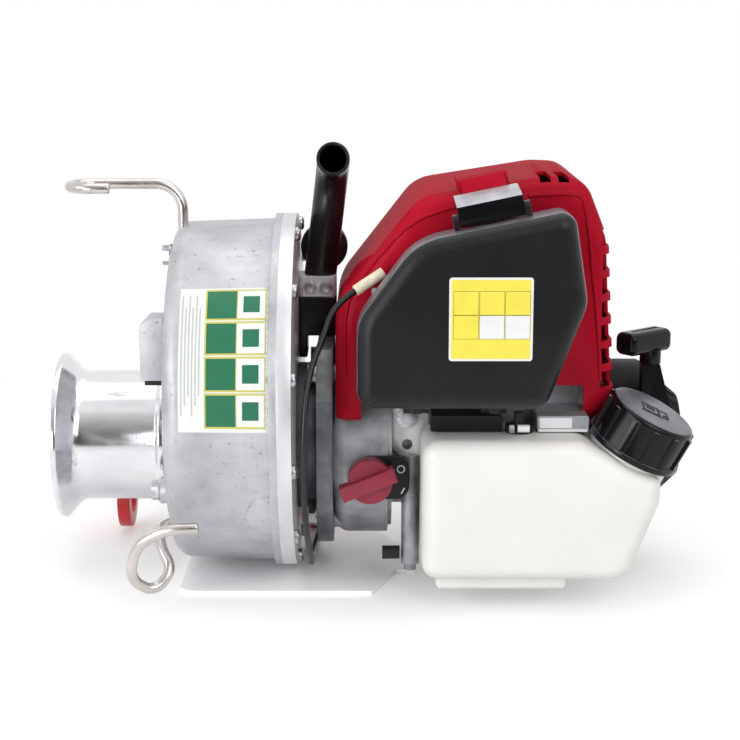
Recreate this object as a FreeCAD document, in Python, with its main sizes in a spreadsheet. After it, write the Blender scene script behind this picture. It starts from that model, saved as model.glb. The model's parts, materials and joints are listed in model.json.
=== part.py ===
import FreeCAD, Part
import math
import os
import re
import Sketcher
from FreeCAD import Vector

# Petrol capstan winch: a capstan drum on a round cast gear case, driven through a
# centrifugal clutch by a small four-stroke engine, on a sheet base plate.
# X runs along the drum shaft from drum to starter, Y away from the rope side, Z up.
# The origin lies on the underside of the base plate. All lengths are in millimetres.

DIMENSIONS = {
    # base plate
    "plate_left": 108.0,
    "plate_right": 26.0,
    "plate_half": 64.0,
    "plate_thick": 3.0,
    "plate_corner": 1.0,
    "plate_round": 9.0,
    "tail_start": 15.0,
    "tail_half": 26.0,
    # gear case and its cover
    "case_length": 62.0,
    "case_radius": 98.0,
    "case_flare": 2.0,
    "case_wall": 5.0,
    "case_floor": 9.0,
    "case_round": 9.0,
    "case_rise": 28.0,
    "flange_step": 3.0,
    "flange_thick": 4.0,
    "cover_thick": 8.0,
    "cover_screw_radius": 2.5,
    "cover_screw_count": 12.0,
    "cover_head_radius": 4.0,
    "cover_head_height": 3.0,
    # stack from the engine's face towards the drum
    "engine_face": 21.0,
    "mount_thick": 9.5,
    "mount_half": 48.0,
    "mount_knee": 31.0,
    "mount_top": 29.0,
    "mount_bolt_side": 27.0,
    "mount_bolt_rise": 42.0,
    "clutch_length": 11.5,
    "clutch_radius": 43.0,
    "clutch_wall": 4.0,
    "bell_radius": 36.0,
    "bell_wall": 2.5,
    "shoe_gap": 0.6,
    "shoe_thick": 9.0,
    "shoe_slot": 6.0,
    "bell_gap": 2.0,
    "bell_hub": 4.0,
    "bell_hub_length": 5.0,
    # capstan drum and its shaft
    "drum_gap": 6.0,
    "drum_length": 63.0,
    "drum_radius": 38.0,
    "drum_wall": 6.0,
    "rim_radius": 48.5,
    "rim_lip": 3.0,
    "flare_length": 12.0,
    "flare_round": 9.0,
    "ridge_width": 3.0,
    "ridge_height": 2.0,
    "web_inset": 27.0,
    "web_thick": 8.0,
    "hub_step": 5.0,
    "hub_radius": 17.0,
    "hub_length": 22.0,
    "boss_length": 24.0,
    "boss_wall": 6.0,
    "shaft_radius": 10.0,
    "bearing_radius": 21.0,
    "bearing_width": 12.0,
    "seal_width": 4.0,
    "bolt_radius": 4.0,
    "bolt_shank": 22.0,
    "bolt_bore": 24.0,
    "bolt_head": 6.0,
    "bolt_across": 13.0,
    "drum_washer": 3.0,
    "shaft_recess": 1.0,
    # gear train
    "gear_teeth": 66.0,
    "first_gear_teeth": 70.0,
    "pinion_teeth": 14.0,
    "first_module": 1.0,
    "second_module": 1.25,
    "third_module": 1.6,
    "first_width": 8.0,
    "second_width": 10.0,
    "third_width": 16.0,
    "gear_gap": 2.0,
    "train_angle": 70.0,
    "stub_radius": 4.5,
    "lay_radius": 6.0,
    "lay_bearing_radius": 10.0,
    "lay_bearing_width": 6.0,
    "lay_boss_depth": 9.0,
    "boss_ring": 4.0,
    "input_ring": 5.0,
    "bearing_step": 1.0,
    "input_radius": 5.0,
    "input_bearing_radius": 14.0,
    "input_bearing_width": 9.0,
    "running_fit": 0.05,
    "backlash": 0.18,
    # bolts and fits
    "seat_gap": 0.3,
    "sheet_thick": 2.5,
    "m_six_radius": 3.0,
    "m_four_radius": 2.0,
    "bolt_grip": 7.0,
    "high_bolt_inset": 12.0,
    "high_bolt_angle": 106.2,
    "low_bolt_inset": 23.0,
    "low_bolt_angle": 216.9,
    "far_bolt_angle": 50.0,
    "face_boss_rise": 5.0,
    "face_boss_radius": 7.5,
    "flange_boss_angle": 31.0,
    "flange_boss_radius": 13.5,
    "flange_boss_rise": 1.5,
    # rope guides and the rope block
    "rod_radius": 3.0,
    "socket_inset": 5.0,
    "socket_side": 8.0,
    "socket_depth": 9.0,
    "loop_inset": 8.0,
    "loop_angle": 45.0,
    "guide_height": 23.3,
    "guide_bend": 15.0,
    "guide_reach": 61.5,
    "guide_return": 24.0,
    "guide_turn": 13.5,
    "block_height": 34.0,
    "block_width": 22.0,
    "block_depth": 13.0,
    "block_side": 74.0,
    "block_rise": 48.6,
    "block_chamfer": 4.0,
    "pad_height": 3.0,
    "pad_step": 2.0,
    # anchor hooks
    "post_radius": 8.0,
    "post_out": 62.0,
    "post_drop": 18.0,
    "front_post_length": 38.0,
    "collar_thick": 4.0,
    "collar_step": 4.0,
    "shoulder_step": 2.5,
    "hook_thick": 7.8,
    "hook_play": 0.2,
    "hook_eye": 14.0,
    "hook_bow": 12.0,
    "hook_bar": 9.0,
    "hook_drop": 36.0,
    # handle
    "tube_radius": 9.5,
    "tube_wall": 1.8,
    "handle_stand": 12.6,
    "handle_rise": 93.0,
    "handle_height": 66.0,
    "handle_lean": 8.0,
    "handle_tip": 5.0,
    "handle_side": 0.5,
    "tube_sink": 4.0,
    "handle_reach": 36.0,
    "handle_bend": 24.0,
    "handle_back": 22.0,
    "bracket_half": 12.0,
    "bracket_clear": 0.5,
    "bracket_flange": 13.0,
    "bracket_sheet": 5.0,
    "clamp_bolt_drop": 6.0,
    "clamp_bolt_side": 5.0,
    "clamp_bolt_shift": 1.0,
    "clamp_height": 12.0,
    "clamp_round": 3.0,
    # throttle control and cable
    "cable_radius": 1.75,
    "ferrule_radius": 3.0,
    "ferrule_length": 18.5,
    "control_radius": 14.0,
    "control_depth": 10.0,
    "control_shift": 2.0,
    "control_rise": 14.5,
    "lever_pivot": 3.0,
    "lever_hub": 9.0,
    "lever_half": 4.0,
    "lever_length": 40.0,
    "lever_thick": 3.0,
    "lever_rest": 6.0,
    # crankcase and what turns in it
    "fan_case_radius": 57.0,
    "fan_case_depth": 31.0,
    "fan_case_wall": 12.0,
    "fan_case_floor": 6.0,
    "fan_case_taper": 2.0,
    "fan_case_round": 9.0,
    "crankcase_radius": 40.0,
    "crankcase_back": 137.0,
    "back_flange": 5.0,
    "boss_radius": 6.5,
    "mount_boss_length": 14.0,
    "deck_half": 29.0,
    "side_pad_left": 74.0,
    "side_pad_right": 117.0,
    "side_pad_out": 44.0,
    "side_pad_in": 27.0,
    "side_pad_low": 10.0,
    "side_pad_high": 43.0,
    "first_foot": 60.0,
    "second_foot": 105.0,
    "crank_radius": 8.0,
    "crank_stub": 13.0,
    "crank_tail": 7.0,
    "fan_gap": 2.0,
    "fan_clear": 3.0,
    "fan_width": 14.0,
    "fan_blades": 16.0,
    "blade_height": 12.0,
    "blade_width": 8.0,
    "blade_half": 1.2,
    "blade_sink": 0.5,
    # cylinder and spark plug
    "cylinder_x": 56.0,
    "fin_count": 9.0,
    "fin_pitch": 9.0,
    "fin_thick": 2.4,
    "fin_half": 33.0,
    "barrel_radius": 25.0,
    "plug_radius": 5.0,
    "plug_thread": 10.0,
    "plug_nut": 7.0,
    "plug_across": 16.0,
    "plug_top": 14.0,
    "plug_core": 4.5,
    # engine shroud
    "shroud_half": 62.0,
    "shroud_wall": 2.2,
    "shroud_inset": 1.8,
    "shroud_bottom": 20.0,
    "shroud_top": 158.0,
    "shroud_right": 136.0,
    "shroud_foot_round": 4.0,
    "shroud_corner": 14.0,
    "shroud_corner_round": 13.0,
    "shroud_lean": 5.0,
    "shroud_side_drop": 36.0,
    "shroud_side_round": 24.0,
    "shroud_shoulder": 19.0,
    "shroud_shoulder_drop": 1.0,
    "shroud_shoulder_round": 16.0,
    "shroud_crest": 40.0,
    "shroud_crest_round": 40.0,
    "shroud_slope_run": 46.0,
    "shroud_slope_drop": 11.0,
    "shroud_slope_round": 24.0,
    "shroud_left_drop": 70.0,
    "shroud_left_round": 34.0,
    "shroud_round": 11.0,
    "mouth_margin": 18.0,
    "louvre_count": 7.0,
    "louvre_start": 42.0,
    "louvre_pitch": 13.0,
    "louvre_height": 9.0,
    "louvre_reach": 22.0,
    "louvre_wrap": 9.0,
    "slot_inset": 44.0,
    "slot_pitch": 10.0,
    "slot_width": 6.0,
    "slot_near": 4.0,
    "slot_length": 34.0,
    "slot_depth": 6.0,
    "catch_half": 13.5,
    "catch_rise": 22.0,
    "ledge_rise": 10.4,
    "ledge_thick": 7.0,
    "ledge_margin": 1.5,
    "ledge_stand": 5.5,
    "catch_out": 2.0,
    "catch_depth": 32.0,
    "window_left": 5.0,
    "window_right": 118.0,
    "window_high": 23.5,
    # air cleaner
    "cleaner_back": 76.0,
    "cleaner_case_depth": 8.0,
    "cleaner_cover_depth": 26.0,
    "cleaner_wall": 2.5,
    "cleaner_step": 1.0,
    "cleaner_left": 7.0,
    "cleaner_right": 114.0,
    "cleaner_bottom": 40.0,
    "cleaner_top": 146.0,
    "cleaner_low_round": 10.0,
    "cleaner_left_rise": 47.0,
    "cleaner_left_round": 26.0,
    "cleaner_slope_run": 31.0,
    "cleaner_slope_drop": 17.0,
    "cleaner_slope_round": 36.0,
    "cleaner_lean": 8.0,
    "cleaner_tip_round": 9.0,
    "cleaner_right_rise": 56.0,
    "cleaner_right_round": 20.0,
    "cleaner_right_taper": 21.0,
    "cleaner_round": 8.5,
    "filter_depth": 18.7,
    "filter_inset": 9.0,
    "hinge_radius": 2.0,
    "hinge_first": 18.0,
    "hinge_second": 60.0,
    "hinge_length": 14.0,
    "hinge_drop": 4.0,
    "knuckle_radius": 4.0,
    "lug_width": 4.0,
    "tab_reach": 6.0,
    "latch_x": 64.6,
    "latch_half": 17.4,
    "latch_thick": 4.5,
    "latch_plate": 2.5,
    "latch_front_drop": 3.5,
    "latch_flat": 5.0,
    "latch_lip": 4.0,
    "latch_bend_drop": 2.0,
    "latch_gap": 0.5,
    "latch_pivot_out": 9.0,
    "latch_pivot_rise": 5.0,
    "latch_pin": 1.5,
    "ear_width": 3.0,
    "ear_radius": 3.2,
    # carburettor
    "carb_x": 35.0,
    "carb_rise": 81.0,
    "carb_half": 17.0,
    "carb_clear": 6.0,
    "carb_cut": 20.0,
    "throat_radius": 9.0,
    "arm_out": 58.0,
    "arm_rise": 5.0,
    "arm_pin": 2.0,
    "arm_pin_length": 6.0,
    "arm_hub": 4.5,
    "arm_thick": 2.5,
    "arm_length": 14.0,
    "tab_length": 17.0,
    "tab_thick": 2.5,
    "tab_gap": 6.5,
    "tab_height": 11.3,
    "cable_tab_low": 7.0,
    # fuel tank and cap
    "tank_left": 28.0,
    "tank_right": 157.0,
    "tank_top": 20.0,
    "tank_drop": 65.5,
    "tank_foot": 7.5,
    "tank_near": 100.0,
    "tank_inner": 52.0,
    "tank_far": 46.0,
    "tank_seat_drop": 44.0,
    "tank_taper": 17.0,
    "tank_wall": 2.5,
    "tank_corner_round": 9.5,
    "tank_base_round": 14.0,
    "tank_side_drop": 12.0,
    "tank_edge_round": 4.0,
    "under_overlap": 10.0,
    "tank_round": 9.0,
    "shoulder_length": 44.0,
    "under_margin": 6.0,
    "foot_margin": 8.0,
    "foot_inset": 10.0,
    "foot_length": 72.0,
    "foot_width": 40.0,
    "foot_round": 3.0,
    "neck_inset": 15.5,
    "neck_back": 28.0,
    "neck_radius": 19.0,
    "neck_height": 10.0,
    "neck_wall": 2.5,
    "neck_tilt": 26.6,
    "neck_toward": 9.0,
    "collar_radius": 23.0,
    "collar_rise": 5.5,
    "collar_sink": 6.0,
    "cap_radius": 26.8,
    "cap_height": 25.0,
    "cap_wall": 2.0,
    "cap_crown": 3.0,
    "cap_lip": 3.0,
    "cap_ribs": 12.0,
    "rib_step": 0.6,
    "rib_sink": 1.0,
    "rib_half": 1.6,
    "fitting_x": 82.0,
    "fitting_back": 28.0,
    "grommet_height": 4.0,
    "grommet_radius": 8.0,
    "spout_height": 7.0,
    "spout_radius": 3.0,
    # recoil starter
    "recoil_radius": 45.0,
    "recoil_depth": 43.0,
    "recoil_straight": 20.0,
    "recoil_knee": 33.0,
    "recoil_step": 7.0,
    "recoil_nose": 31.0,
    "recoil_wall": 2.5,
    "rope_plane": 22.0,
    "reel_radius": 33.0,
    "reel_width": 9.0,
    "reel_flange": 2.0,
    "reel_floor": 2.0,
    "pin_radius": 5.0,
    "pin_over": 2.0,
    "rope_radius": 1.75,
    "rope_clear": 1.2,
    "rope_start": 8.0,
    "guide_rise": 50.0,
    "column_half": 5.0,
    "column_lean": 8.0,
    "column_sink": 8.0,
    "stem_height": 8.0,
    "stem_radius": 6.0,
    "grip_sink": 2.0,
    "grip_length": 34.0,
    "grip_width": 15.0,
    "grip_height": 13.0,
    "grip_round": 4.0,
    "grip_turn": 40.0,
    "grip_shift": 4.0,
    # stop switch
    "knob_radius": 12.5,
    "knob_height": 15.0,
    "knob_disc": 9.0,
    "knob_bar_foot": 4.5,
    "knob_bar_shift": 1.0,
    "knob_bar": 32.0,
    "knob_bar_half": 4.0,
    "knob_turn": 22.0,
    "switch_thick": 3.0,
    "switch_drop": 10.0,
    "switch_left": 8.0,
    "switch_right": 22.0,
    "switch_half": 12.3,
    "switch_round": 8.0,
    "spindle_radius": 3.0,
    # side bracket
    "bracket_stand": 4.5,
    "side_bracket_shift": 9.0,
    "side_bracket_left": 8.4,
    "side_bracket_half": 12.0,
    "side_bracket_high": 34.0,
    "side_bracket_low": 4.0,
    "side_bolt_rise": 22.0,
    "side_hole_rise": 6.0,
    "leg_radius": 5.2,
    "leg_drop": 64.0,
    "leg_shift": 2.0,
    "stud_drop": 4.0,
    "stud_radius": 3.4,
    "side_bracket_toe": 1.0,
    "side_bracket_round": 3.0,
    "side_bracket_top_round": 6.0,
    # muffler
    "port_rise": 85.0,
    "port_half": 16.0,
    "port_rise_half": 11.2,
    "port_clear": 2.0,
    "port_cut": 20.0,
    "muffler_half": 37.0,
    "muffler_rise": 29.0,
    "muffler_depth": 34.0,
    "muffler_stand": 4.0,
    "muffler_round": 7.0,
    "guard_room": 6.0,
    "guard_wall": 2.0,
    "guard_slots": 5.0,
    "guard_slot_margin": 2.0,
}

# A cut runs this far past the face that it opens.
OVER = 1.0
# Bolt heads and washers as shares of the shank's radius.
HEAD_HEIGHT = 1.3
HEAD_ACROSS = 3.3
WASHER_RADIUS = 2.1
WASHER_HEIGHT = 0.4
# Spur gears: pressure angle in degrees, root depth in modules.
PRESSURE_ANGLE = 20.0
ROOT_DEPTH = 1.2
# The share of a run that the bend at its end may take.
BEND_SHARE = 0.45

DOC = FreeCAD.newDocument("capstan_winch")
SHEET = DOC.addObject("Spreadsheet::Sheet", "Dimensions")


def fill_sheet():
    """Write every driving dimension into the sheet, with its name as the alias."""
    for row, (name, number) in enumerate(DIMENSIONS.items(), start=1):
        SHEET.set(f"A{row}", name)
        SHEET.set(f"B{row}", repr(number))
        SHEET.setAlias(f"B{row}", name)
    DOC.recompute()


def expr(text):
    """Point the size names in an expression at the sheet."""
    def reference(match):
        word = match.group(0)
        return f"Dimensions.{word}" if word in DIMENSIONS else word
    return re.sub(r"[a-z][a-z_]+", reference, text)


def value(text):
    """Work out an expression of size names as a number."""
    return float(SHEET.evalExpression(expr(text)))


# Places along the drum shaft, from the engine's face towards the drum.
X_FACE = "(-engine_face)"
X_MOUNT = "(-engine_face - mount_thick)"
X_COVER = f"({X_MOUNT} - clutch_length)"
X_BACK = f"({X_COVER} - cover_thick)"
X_FRONT = f"({X_BACK} - case_length)"
X_DRUM = f"({X_FRONT} - drum_gap)"
X_RIM = f"({X_DRUM} - drum_length)"
X_INSIDE = f"({X_FRONT} + case_floor)"
X_BOSS = f"({X_FRONT} - boss_length)"
# Heights: the case's flange stands on the plate, and the shaft lies below its centre.
FLANGE = "(case_radius + case_flare + flange_step)"
CASE_Z = f"(plate_thick + {FLANGE})"
AXIS_Z = f"({CASE_Z} - case_rise)"
DECK_Z = f"({AXIS_Z} + crankcase_radius)"
SHROUD_LOW = f"({AXIS_Z} + shroud_bottom)"
SHROUD_HIGH = f"({AXIS_Z} + shroud_top)"
CLEANER_LOW = f"({AXIS_Z} + cleaner_bottom)"
CLEANER_HIGH = f"({AXIS_Z} + cleaner_top)"
CARB_Z = f"({AXIS_Z} + carb_rise)"
PORT_Z = f"({AXIS_Z} + port_rise)"
TANK_HIGH = f"({AXIS_Z} + tank_top)"
TANK_FOOT = f"({AXIS_Z} - tank_drop)"
TANK_FLOOR = f"({AXIS_Z} - tank_seat_drop)"
FAN_RADIUS = "(fan_case_radius - fan_case_wall - fan_clear)"
# Gear planes inside the case, from the drum side to the engine side.
X_THIRD = f"({X_INSIDE} + gear_gap)"
X_SECOND = f"({X_THIRD} + third_width + gear_gap)"
X_FIRST = f"({X_SECOND} + second_width + gear_gap)"


def place(obj, x="0", y="0", z="0"):
    for axis, text in (("x", x), ("y", y), ("z", z)):
        obj.setExpression(f"Placement.Base.{axis}", expr(text))


def new_body(label, x="0", y="0", z="0"):
    body = DOC.addObject("PartDesign::Body", label)
    body.Label = label
    place(body, x, y, z)
    return body


def sketch_on(body, plane, start):
    sketch = body.newObject("Sketcher::SketchObject", "Outline")
    support = next(f for f in body.Origin.OriginFeatures if f.Role == plane)
    sketch.AttachmentSupport = (support, [""])
    sketch.MapMode = "FlatFace"
    sketch.setExpression("AttachmentOffset.Base.z", expr(start))
    return sketch


def fix_point(sketch, geometry, position, x, y):
    """Hold one point of a sketch at a place given by two expressions."""
    for kind, text, axis in (("DistanceX", x, -2), ("DistanceY", y, -1)):
        if text == "0":
            sketch.addConstraint(Sketcher.Constraint("PointOnObject", geometry, position, axis))
            continue
        number = sketch.addConstraint(
            Sketcher.Constraint(kind, -1, 1, geometry, position, value(text)))
        sketch.setExpression(f"Constraints[{number}]", expr(text))


def polygon(*corners):
    def draw(sketch):
        points = [Vector(value(x), value(y), 0) for x, y in corners]
        first = sketch.GeometryCount
        for here, there in zip(points, points[1:] + points[:1]):
            sketch.addGeometry(Part.LineSegment(here, there))
        for step, (x, y) in enumerate(corners):
            before = first + (step - 1) % len(corners)
            sketch.addConstraint(Sketcher.Constraint("Coincident", before, 2, first + step, 1))
            fix_point(sketch, first + step, 1, x, y)
    return draw


def circle(radius, x="0", y="0"):
    def draw(sketch):
        centre = Vector(value(x), value(y), 0)
        number = sketch.addGeometry(Part.Circle(centre, Vector(0, 0, 1), value(radius)))
        fix_point(sketch, number, 3, x, y)
        size = sketch.addConstraint(Sketcher.Constraint("Radius", number, value(radius)))
        sketch.setExpression(f"Constraints[{size}]", expr(radius))
    return draw


def rectangle(x_low, x_high, y_low, y_high):
    return polygon((x_low, y_low), (x_high, y_low), (x_high, y_high), (x_low, y_high))


def pad(body, plane, start, length, *loops):
    sketch = sketch_on(body, plane, start)
    for loop in loops:
        loop(sketch)
    feature = body.newObject("PartDesign::Pad", "Pad")
    feature.Profile = sketch
    feature.setExpression("Length", expr(length))
    return feature


def pocket(body, plane, start, length, *loops):
    """Cut along the sketch plane's normal, from start on."""
    DOC.recompute()
    volume = body.Shape.Volume
    sketch = sketch_on(body, plane, start)
    for loop in loops:
        loop(sketch)
    feature = body.newObject("PartDesign::Pocket", "Pocket")
    feature.Profile = sketch
    feature.Reversed = True
    feature.setExpression("Length", expr(length))
    DOC.recompute()
    if not body.Shape.Volume < volume:
        raise RuntimeError(f"a pocket in {body.Label} cuts nothing")
    return feature


def revolve(body, *corners):
    """Turn a profile of (along X, radius) corners about the body's X axis."""
    sketch = sketch_on(body, "XZ_Plane", "0")
    polygon(*corners)(sketch)
    feature = body.newObject("PartDesign::Revolution", "Revolution")
    feature.Profile = sketch
    feature.ReferenceAxis = (sketch, ["H_Axis"])
    feature.Angle = 360.0
    return feature


def round_edges(body, radius, wanted):
    """Fillet the edges of a body's last feature that the test picks."""
    DOC.recompute()
    base = body.Tip
    names = [f"Edge{i}" for i, edge in enumerate(base.Shape.Edges, 1) if wanted(edge)]
    feature = body.newObject("PartDesign::Fillet", "Fillet")
    feature.Base = (base, names)
    feature.setExpression("Radius", expr(radius))
    return feature


def ring(label, start, length, outer, bore, z=AXIS_Z):
    body = new_body(label, z=z)
    pad(body, "YZ_Plane", start, length, circle(outer), circle(bore))
    return body


def solid_feature(label, shape):
    feature = DOC.addObject("Part::Feature", label)
    feature.Label = label
    feature.Shape = shape
    return feature


def rod(start, axis, length, radius):
    """A plain cylinder from a point along a direction."""
    return Part.makeCylinder(radius, length, Vector(*start), Vector(*axis))


def box(low, high):
    size = [b - a for a, b in zip(low, high)]
    return Part.makeBox(*size, Vector(*low))


def hexagon(start, axis, height, across):
    """A hexagon head or nut with the given width across its flats."""
    corner = across / math.sqrt(3.0)
    turns = [math.radians(60 * k) for k in range(7)]
    points = [Vector(corner * math.cos(turn), corner * math.sin(turn), 0) for turn in turns]
    head = Part.Face(Part.makePolygon(points)).extrude(Vector(0, 0, height))
    head.Placement = FreeCAD.Placement(Vector(*start), FreeCAD.Rotation(Vector(0, 0, 1), Vector(*axis)))
    return head


def hex_bolt(start, axis, radius, shank, washer=True):
    """A bolt whose head stands on the seat at start and whose shank goes the other way."""
    head_height = HEAD_HEIGHT * radius
    across = HEAD_ACROSS * radius
    direction = Vector(*axis).normalize()
    seat = Vector(*start)
    rise = WASHER_HEIGHT * radius if washer else 0.0
    bolt = hexagon(seat + direction * rise, direction, head_height, across)
    if washer:
        bolt = bolt.fuse(Part.makeCylinder(WASHER_RADIUS * radius, rise, seat, direction))
    if shank:
        bolt = bolt.fuse(Part.makeCylinder(radius, shank, seat, direction * -1))
    return bolt.removeSplitter()


def rounded_wire(corners, y):
    """A closed outline in the XZ plane at y from (x, z, corner radius) triples."""
    count = len(corners)
    ends = []
    for k, (x, z, radius) in enumerate(corners):
        here = Vector(x, y, z)
        back = (Vector(corners[k - 1][0], y, corners[k - 1][1]) - here).normalize()
        on = (Vector(corners[(k + 1) % count][0], y, corners[(k + 1) % count][1]) - here).normalize()
        half = back.getAngle(on) / 2.0
        trim = radius / math.tan(half)
        middle = (back + on).normalize()
        bow = here + middle * (radius / math.sin(half) - radius)
        ends.append((here + back * trim, bow, here + on * trim))
    edges = []
    for k, (enter, bow, leave) in enumerate(ends):
        edges.append(Part.Arc(enter, bow, leave).toShape())
        edges.append(Part.LineSegment(leave, ends[(k + 1) % count][0]).toShape())
    return Part.Wire(edges)


def rounded_prism(corners, y_low, y_high, inset=0.0):
    """The outline drawn in by inset and carried from y_low to y_high."""
    face = Part.Face(rounded_wire(corners, y_low))
    if inset:
        face = Part.Face(face.makeOffset2D(-inset).Wires[0])
    return face.extrude(Vector(0, y_high - y_low, 0))


def edges_at(shape, axis, place_at):
    """The edges that lie wholly in the plane where the axis has the given value."""
    index = "xyz".index(axis)
    return [edge for edge in shape.Edges
            if all(abs(vertex.Point[index] - place_at) < 1e-4 for vertex in edge.Vertexes)]


def route(points, bends):
    """Straight runs joined by tangent arcs. bends holds one radius per inner point."""
    points = [Vector(*p) for p in points]
    edges = []
    start = points[0]
    for here, there, radius, before in zip(points[1:-1], points[2:], bends, points[:-2]):
        back = (before - here).normalize()
        on = (there - here).normalize()
        half = back.getAngle(on) / 2.0
        trim = radius / math.tan(half)
        bow = here + (back + on).normalize() * (radius / math.sin(half) - radius)
        enter = here + back * trim
        leave = here + on * trim
        if (enter - start).Length > 1e-6:
            edges.append(Part.LineSegment(start, enter).toShape())
        edges.append(Part.Arc(enter, bow, leave).toShape())
        start = leave
    if (points[-1] - start).Length > 1e-6:
        edges.append(Part.LineSegment(start, points[-1]).toShape())
    return Part.Wire(edges)


def tube(path, radius):
    """A round section swept along a route."""
    first = path.Edges[0]
    start = first.valueAt(first.FirstParameter)
    heading = first.tangentAt(first.FirstParameter)
    section = Part.Wire(Part.Circle(start, heading, radius).toShape())
    return path.makePipeShell([section], True, False)


def cord_bends(points):
    """The largest radius that the two runs at each inner point allow."""
    points = [Vector(*p) for p in points]
    radii = []
    for before, here, there in zip(points, points[1:], points[2:]):
        back = before - here
        on = there - here
        half = back.getAngle(on) / 2.0
        radii.append(BEND_SHARE * min(back.Length, on.Length) * math.tan(half))
    return radii


def toothed_wheel(teeth, module, phase, addendum, start, width, bore=0.0):
    """A spur gear with straight chords on its involute flanks, from start along X."""
    x, y, z = start
    pitch = module * teeth / 2.0
    pressure = math.radians(PRESSURE_ANGLE)
    base = pitch * math.cos(pressure)
    tip = pitch + addendum * module
    root = pitch - ROOT_DEPTH * module
    play = value("backlash") * module / (2.0 * pitch)
    involute = math.tan(pressure) - pressure
    at_pitch = math.pi / (2.0 * teeth) - play
    flank = []
    lowest = max(base, root)
    for share in (0.0, 0.5, 1.0):
        radius = lowest + share * (tip - lowest)
        angle = math.acos(min(1.0, base / radius))
        flank.append((radius, at_pitch + involute - (math.tan(angle) - angle)))
    flank.insert(0, (root, flank[0][1]))
    points = []
    for tooth in range(int(teeth)):
        middle = phase + 2.0 * math.pi * tooth / teeth
        sides = [(r, middle - half) for r, half in flank] + [(r, middle + half) for r, half in flank[::-1]]
        points += [Vector(x, y + r * math.cos(a), z + r * math.sin(a)) for r, a in sides]
    wheel = Part.Face(Part.makePolygon(points + points[:1])).extrude(Vector(width, 0, 0))
    if not bore:
        return wheel
    return wheel.cut(rod((x - OVER, y, z), (1, 0, 0), width + 2.0 * OVER, bore))


def mesh_phase(phase, teeth, other_teeth, direction):
    """The phase that puts a gear in mesh with one seen in the given direction."""
    return direction + math.pi - math.pi / other_teeth - (phase - direction) * teeth / other_teeth


def base_plate():
    body = new_body("base_plate")
    half, tail = "plate_half", "tail_half"
    pad(body, "XY_Plane", "0", "plate_thick", polygon(
        ("-plate_left", f"-{half}"), ("plate_corner", f"-{half}"), ("tail_start", f"-{tail}"),
        ("plate_right", f"-{tail}"), ("plate_right", tail), ("tail_start", tail),
        ("plate_corner", half), ("-plate_left", half)))
    left = -value("plate_left")
    round_edges(body, "plate_round", lambda edge: abs(edge.CenterOfMass.x - left) < 1e-3
                and abs(edge.tangentAt(edge.FirstParameter).z) > 0.9)


def train_places():
    """Where the two lay shafts stand in Y and Z, from the three centre distances."""
    pinion, gear, first = value("pinion_teeth"), value("gear_teeth"), value("first_gear_teeth")
    reach_one = value("first_module") * (pinion + first) / 2.0
    reach_two = value("second_module") * (pinion + gear) / 2.0
    reach_three = value("third_module") * (pinion + gear) / 2.0
    spread = (reach_one ** 2 + reach_three ** 2 - reach_two ** 2) / (2.0 * reach_one * reach_three)
    second = math.radians(value("train_angle"))
    first_angle = second + math.acos(spread)
    axis_z = value(AXIS_Z)
    lay_one = (reach_one * math.cos(first_angle), axis_z + reach_one * math.sin(first_angle))
    lay_two = (reach_three * math.cos(second), axis_z + reach_three * math.sin(second))
    return lay_one, lay_two, first_angle, second


def gear_case():
    body = new_body("gear_case_turned", z=CASE_Z)
    back = "(case_radius + case_flare)"
    revolve(body, (X_FRONT, "0"), (X_FRONT, "case_radius"),
            (f"{X_BACK} - flange_thick", back), (f"{X_BACK} - flange_thick", FLANGE),
            (X_BACK, FLANGE), (X_BACK, f"{back} - case_wall"),
            (X_INSIDE, "case_radius - case_wall"), (X_INSIDE, "0"))
    front = value(X_FRONT)
    radius = value("case_radius")
    round_edges(body, "case_round", lambda edge: abs(edge.CenterOfMass.x - front) < 1e-3
                and getattr(edge.Curve, "Radius", 0.0) > radius - 1.0)
    pad(body, "YZ_Plane", X_BOSS, "boss_length + case_floor",
        circle("bearing_radius + boss_wall", "0", "-case_rise"))
    pocket(body, "YZ_Plane", X_BOSS, "boss_length + case_floor",
           circle("bearing_radius", "0", "-case_rise"))
    DOC.recompute()
    shape = body.Shape.copy()
    lay_two = train_places()[1]
    centre = value(CASE_Z)
    recess = rod((value(X_INSIDE) - value("lay_bearing_width"), *lay_two), (1, 0, 0),
                 value("lay_bearing_width"), value("lay_bearing_radius"))
    socket_bore = rod(socket_place(), (0, 0, 1), 2.0 * value("socket_depth"), value("rod_radius"))
    cuts = [recess, socket_bore]
    cuts += [rod(seat, (1, 0, 0), value("bolt_grip"), value("m_six_radius")) for seat in face_seats()]
    cuts.append(rod((front, *loop_seat()), (1, 0, 0), value("bolt_grip"), value("rod_radius")))
    flange = value("flange_thick")
    step = value(X_BACK) - flange
    cuts += [rod((step, y, z), (1, 0, 0), flange, value("cover_screw_radius")) for y, z in screw_circle()]
    rise, boss = value("face_boss_rise"), value("face_boss_radius")
    added = [rod(seat, (1, 0, 0), 2.0 * rise, boss) for seat in face_seats()[1:]]
    angle = math.radians(value("flange_boss_angle"))
    outward = Vector(0, -math.cos(angle), -math.sin(angle))
    half_disc = value("flange_boss_radius")
    depth = value("case_wall / 2 + case_flare + flange_boss_rise")
    foot = Vector(step, 0, centre) + outward * value("case_radius - case_wall / 2")
    disc = rod(tuple(foot), tuple(outward), depth, half_disc)
    beside = box((step - half_disc, -centre, 0), (step, 0, centre))
    added.append(disc.common(beside))
    solid_feature("gear_case", shape.fuse(added).cut(cuts).removeSplitter())


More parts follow.
